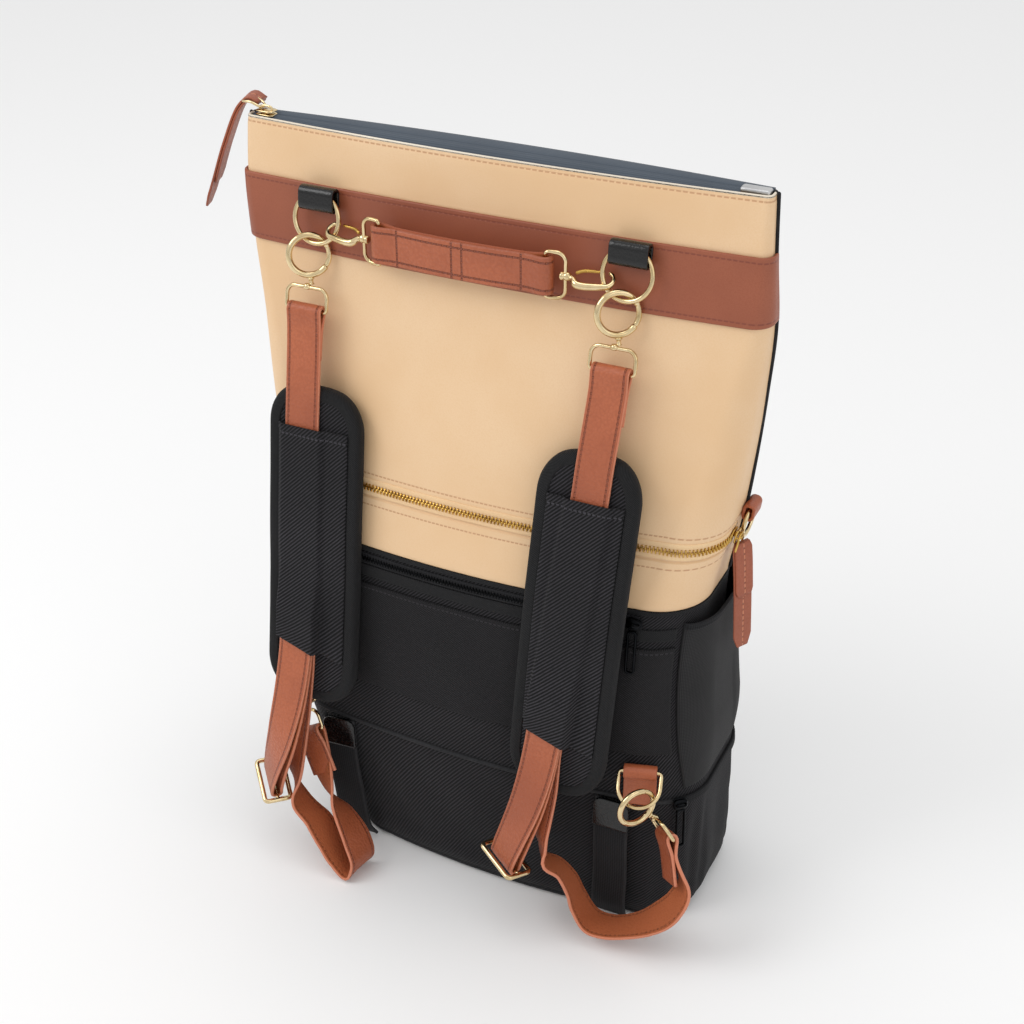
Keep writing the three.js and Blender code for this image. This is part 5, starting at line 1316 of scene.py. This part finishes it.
# Lower straps, free between the pads and the lower loops
FREE_ROUTES = {
    "left": ((0.44, -0.24, -0.87), [
        (-0.343, -0.6675, 0.252, 1, -0.03, 0),
        (-0.353, -0.696, 0.136, 0.75, -0.6, -0.25),
        (-0.336, -0.732, 0.096, 0.1, -0.93, 0.2),
        (-0.294, -0.746, 0.072, -0.32, -0.89, 0.33),
        (-0.267, -0.754, 0.046, -0.3, -0.9, 0.28),
        (-0.244, -0.761, 0.022, -0.2, -0.95, 0.2),
        (-0.215, -0.761, 0.006, -0.07, -1, 0),
        (-0.196, -0.746, 0.025, -0.2, -0.95, 0.15),
        (-0.212, -0.717, 0.051, -0.35, -0.9, 0.25),
        (-0.245, -0.69, 0.082, 0, -0.95, 0.3),
        (-0.283, -0.655, 0.108, 0.6, -0.6, 0.4),
    ]),
    "right": ((0.3, -0.35, -0.85), [
        (0.1844, -0.6536, 0.23, 1, -0.1, 0),
        (0.185, -0.696, 0.17, 0.85, -0.5, -0.1),
        (0.196, -0.703, 0.138, 0.55, -0.82, 0.15),
        (0.203, -0.725, 0.125, 0.42, -0.88, 0.22),
        (0.228, -0.696, 0.111, 0.3, -0.93, 0.2),
        (0.25, -0.667, 0.083, 0.15, -0.98, 0.1),
        (0.264, -0.652, 0.053, 0.05, -1, 0),
        (0.292, -0.652, 0.026, 0, -1, 0),
        (0.328, -0.652, 0.025, 0, -1, 0),
        (0.375, -0.652, 0.04, 0.2, -0.97, 0),
        (0.419, -0.652, 0.064, 0.5, -0.85, 0),
        (0.458, -0.652, 0.098, 0.6, -0.78, 0),
        (0.468, -0.6, 0.125, 0.55, -0.8, 0.1),
    ]),
}
for side, (away, rows) in FREE_ROUTES.items():
    bar, bar_axis = lower_loops[side]
    away = vec(*away)
    away = unit(away - bar_axis * np.dot(away, bar_axis))
    back = np.cross(away, bar_axis)
    path = []
    for share in (RETURN_SHARE, SLEEVE_FOOT, 0.88):
        path.append((pad_point(side, share, offset_at(side, share), FIRST_LAYER), X_AXIS))
    path += [(vec(*row[:3]) * SHARE_OF_BAG, vec(*row[3:])) for row in rows]
    path += [(p, bar_axis) for p in fold_over(bar, away, back, 32)[::-1]]
    strap_piece("leather_strap_lower_" + side, path, "strap_lower_" + side)

# Snap hooks with their levers
handle_bars = {}
for side, sign in (("left", -1), ("right", 1)):
    center, tilt = clusters[side]
    hold = math.radians(20)
    held = center + vec(-sign * RING_RADIUS * math.cos(hold), 0, 0) - tilt * RING_RADIUS * math.sin(hold)
    nose = unit(vec(sign, 0.2, 0))
    inner = 7.4 / 2 + 1.5
    tip = 31 - 1.5
    eye = held - nose * (tip - 1.5 - 1.6 - 3.3)
    pose = Pose(eye, vec(0, 0, -sign), nose)
    spin = math.radians(sign * 35)

    def spun(points):
        return [pose.at(y * math.sin(spin), x, y * math.cos(spin)) for x, y in points]

    body = [(1.5, 0), (4.5, 1.2), (8, inner)] + arc_points(tip - inner, 0, inner, 90, -60, 14).tolist()
    taper = ((0, 0.2, 0.5, 0.8, 1), (1, 1.6, 1.45, 1.1, 0.85))
    hook = tube("hook", spun(body), 3.1, count=70, diameters=taper)
    neck = turned("neck", [(-1.4, 1.9), (0, 2.5), (1.2, 2.9), (2.6, 2.6), (3.8, 1.8)], pose.origin, pose.y)
    made = join_objects("hook_" + side, loop_parts(pose, 12) + [hook, neck])
    finish_piece(made, gold, "bag", "pale_gold", "snap_hook_" + side)
    mouth = arc_points(tip - inner, 0, inner, -60, -60, 1)[0]
    start = (7, -inner * 0.6)
    lever = [(start[0], start[1]), (start[0] + 4, start[1] - inner * 0.3),
             (mouth[0] - 6.6, start[1] - inner * 0.35)]
    taper = ((0, 0.5, 1), (1.1, 1, 0.8))
    lever_tube = tube("hook_lever_" + side, spun(lever), 2.1, count=30, diameters=taper)
    finish_piece(lever_tube, zip_gold, "snap_lever_" + side, "pale_gold", "snap_lever_" + side)
    handle_bars[side] = eye - nose * 12

# Handle: two layers folded round the bars of both hooks
left_bar, right_bar = handle_bars["left"], handle_bars["right"]
handle_span = right_bar - left_bar
handle_along = unit(handle_span)
handle_out = unit(np.cross(handle_along, Z_AXIS))
handle_half = (2.6 + 0.4) / 2
handle_turn = 1.3 + 1.2 + 1.3


def handle_at(share, out):
    return left_bar + handle_span * share + handle_out * (out + 3 * math.sin(math.pi * share))


def turn_at(bar, sign):
    made = []
    for degrees in (-75, -25, 25, 75):
        a = math.radians(degrees)
        made.append(bar + sign * handle_turn * (handle_along * math.cos(a) - handle_out * math.sin(a)))
    return made


shares = (0.1, 0.3, 0.5, 0.7, 0.9)
loop = [handle_at(s, handle_half) for s in shares] + turn_at(right_bar, 1)
loop += [handle_at(s, -handle_half) for s in shares[::-1]] + turn_at(left_bar, -1)
handle = strip("grab_handle", loop, Z_AXIS, 24.5, 2.6, step=1.5, closed=True, round_off=1.1)
half_way = 0.4 * np.linalg.norm(handle_span)
handle_leather = leather("handle_leather", COGNAC, COGNAC_DARK, srgb(128, 62, 40), grain=1.9, depth=0.4,
                         rough=0.38, half_width=12.25, inset=3.4, suede=SUEDE, paint=srgb(150, 80, 54),
                         ends=(3.0, half_way - 3.5, half_way + 3.5, 2 * half_way - 3.0))
finish_piece(handle, handle_leather, "bag", "cognac_leather", "handle")

# Side tabs at the seams, each with a plain ring
for side, place in (("left", LEFT_SEAM), ("right", 0)):
    ring_radius = (SIDE_RING - THIN_WIRE) / 2
    rise = ring_radius - math.sqrt(ring_radius**2 - 64)
    height = rise + THIN_WIRE + 2 * TAB_LEATHER + 2
    depth = THIN_WIRE + 2 * TAB_LEATHER + 1.6
    pose = frame_on(place, MIDDLE_TOP + 0.2 * 272, GAP)
    folded_tab("seam_tab_" + side, Pose(pose.origin, pose.x, -pose.z), 16, depth, height, 0, tab_leather,
               "cognac_leather", "side_tab_" + side)
    lift = TAB_LEATHER + THIN_WIRE / 2 + 0.8
    drop = height / 2 - TAB_LEATHER - 1 - SIDE_RING / 2
    ring_pose = Pose(pose.at(0, drop, lift), pose.x, pose.y)
    ring_piece("seam_ring_" + side, ring_pose, SIDE_RING, THIN_WIRE, "side_ring_" + side)

# Camera, floor and light
SENSOR = 36
FOCAL_PIXELS = 1741
FRAME_PIXELS = 1024
FLOOR_REACH = 20000
scene = bpy.context.scene
azimuth, elevation, roll = (math.radians(v) for v in (25.26, 31.17, -0.24))
level = vec(math.cos(azimuth), math.sin(azimuth), 0)
ahead = vec(-math.sin(azimuth), math.cos(azimuth), 0)
forward = ahead * math.cos(elevation) - Z_AXIS * math.sin(elevation)
upright = np.cross(level, forward)
cam_right = level * math.cos(roll) + upright * math.sin(roll)
cam_up = upright * math.cos(roll) - level * math.sin(roll)
camera_data = bpy.data.cameras.new("camera")
camera_data.sensor_width = SENSOR
camera_data.lens = FOCAL_PIXELS / FRAME_PIXELS * SENSOR
camera = bpy.data.objects.new("camera", camera_data)
scene.collection.objects.link(camera)
view_matrix = Matrix((cam_right, cam_up, -forward)).transposed().to_4x4()
view_matrix.translation = Vector((0.437, -0.920, 0.887))
camera.matrix_world = view_matrix
scene.camera = camera

floor_points = np.array([(-1, -1, 0), (1, -1, 0), (1, 1, 0), (-1, 1, 0)], float) * FLOOR_REACH
floor = mesh_object("floor", floor_points, [[0, 1, 2, 3]])
floor_look = Look("floor_pale", (0.9, 0.9, 0.9, 1), 0.9, specular=0.1)
floor.data.materials.append(floor_look.material)

world = bpy.data.worlds.new("studio")
world.use_nodes = True
background = world.node_tree.nodes["Background"]
background.inputs["Color"].default_value = (1, 1, 1, 1)
sky_place = world.node_tree.nodes.new("ShaderNodeTexCoord")
sky_split = world.node_tree.nodes.new("ShaderNodeSeparateXYZ")
sky_level = world.node_tree.nodes.new("ShaderNodeMapRange")
sky_level.inputs["From Min"].default_value = 0.02
sky_level.inputs["From Max"].default_value = 0.3
sky_level.inputs["To Min"].default_value = 0.6
sky_level.inputs["To Max"].default_value = 0.86
world.node_tree.links.new(sky_place.outputs["Generated"], sky_split.inputs[0])
world.node_tree.links.new(sky_split.outputs[2], sky_level.inputs["Value"])
world.node_tree.links.new(sky_level.outputs[0], background.inputs["Strength"])
scene.world = world
scene.view_settings.view_transform = "Standard"
for name, spot, size, power in (("key", (-1.3, -1.2, 1.9), 1.2, 15), ("fill", (1.6, -0.9, 1.2), 1.4, 3),
                                ("top", (0.1, 0.2, 2.3), 1.0, 5)):
    light_data = bpy.data.lights.new(name, "AREA")
    light_data.shape = "SQUARE"
    light_data.size = size
    light_data.energy = power
    light = bpy.data.objects.new(name, light_data)
    light.location = spot
    light.rotation_euler = (Vector((0, 0, 0.25)) - Vector(spot)).to_track_quat("-Z", "Y").to_euler()
    scene.collection.objects.link(light)
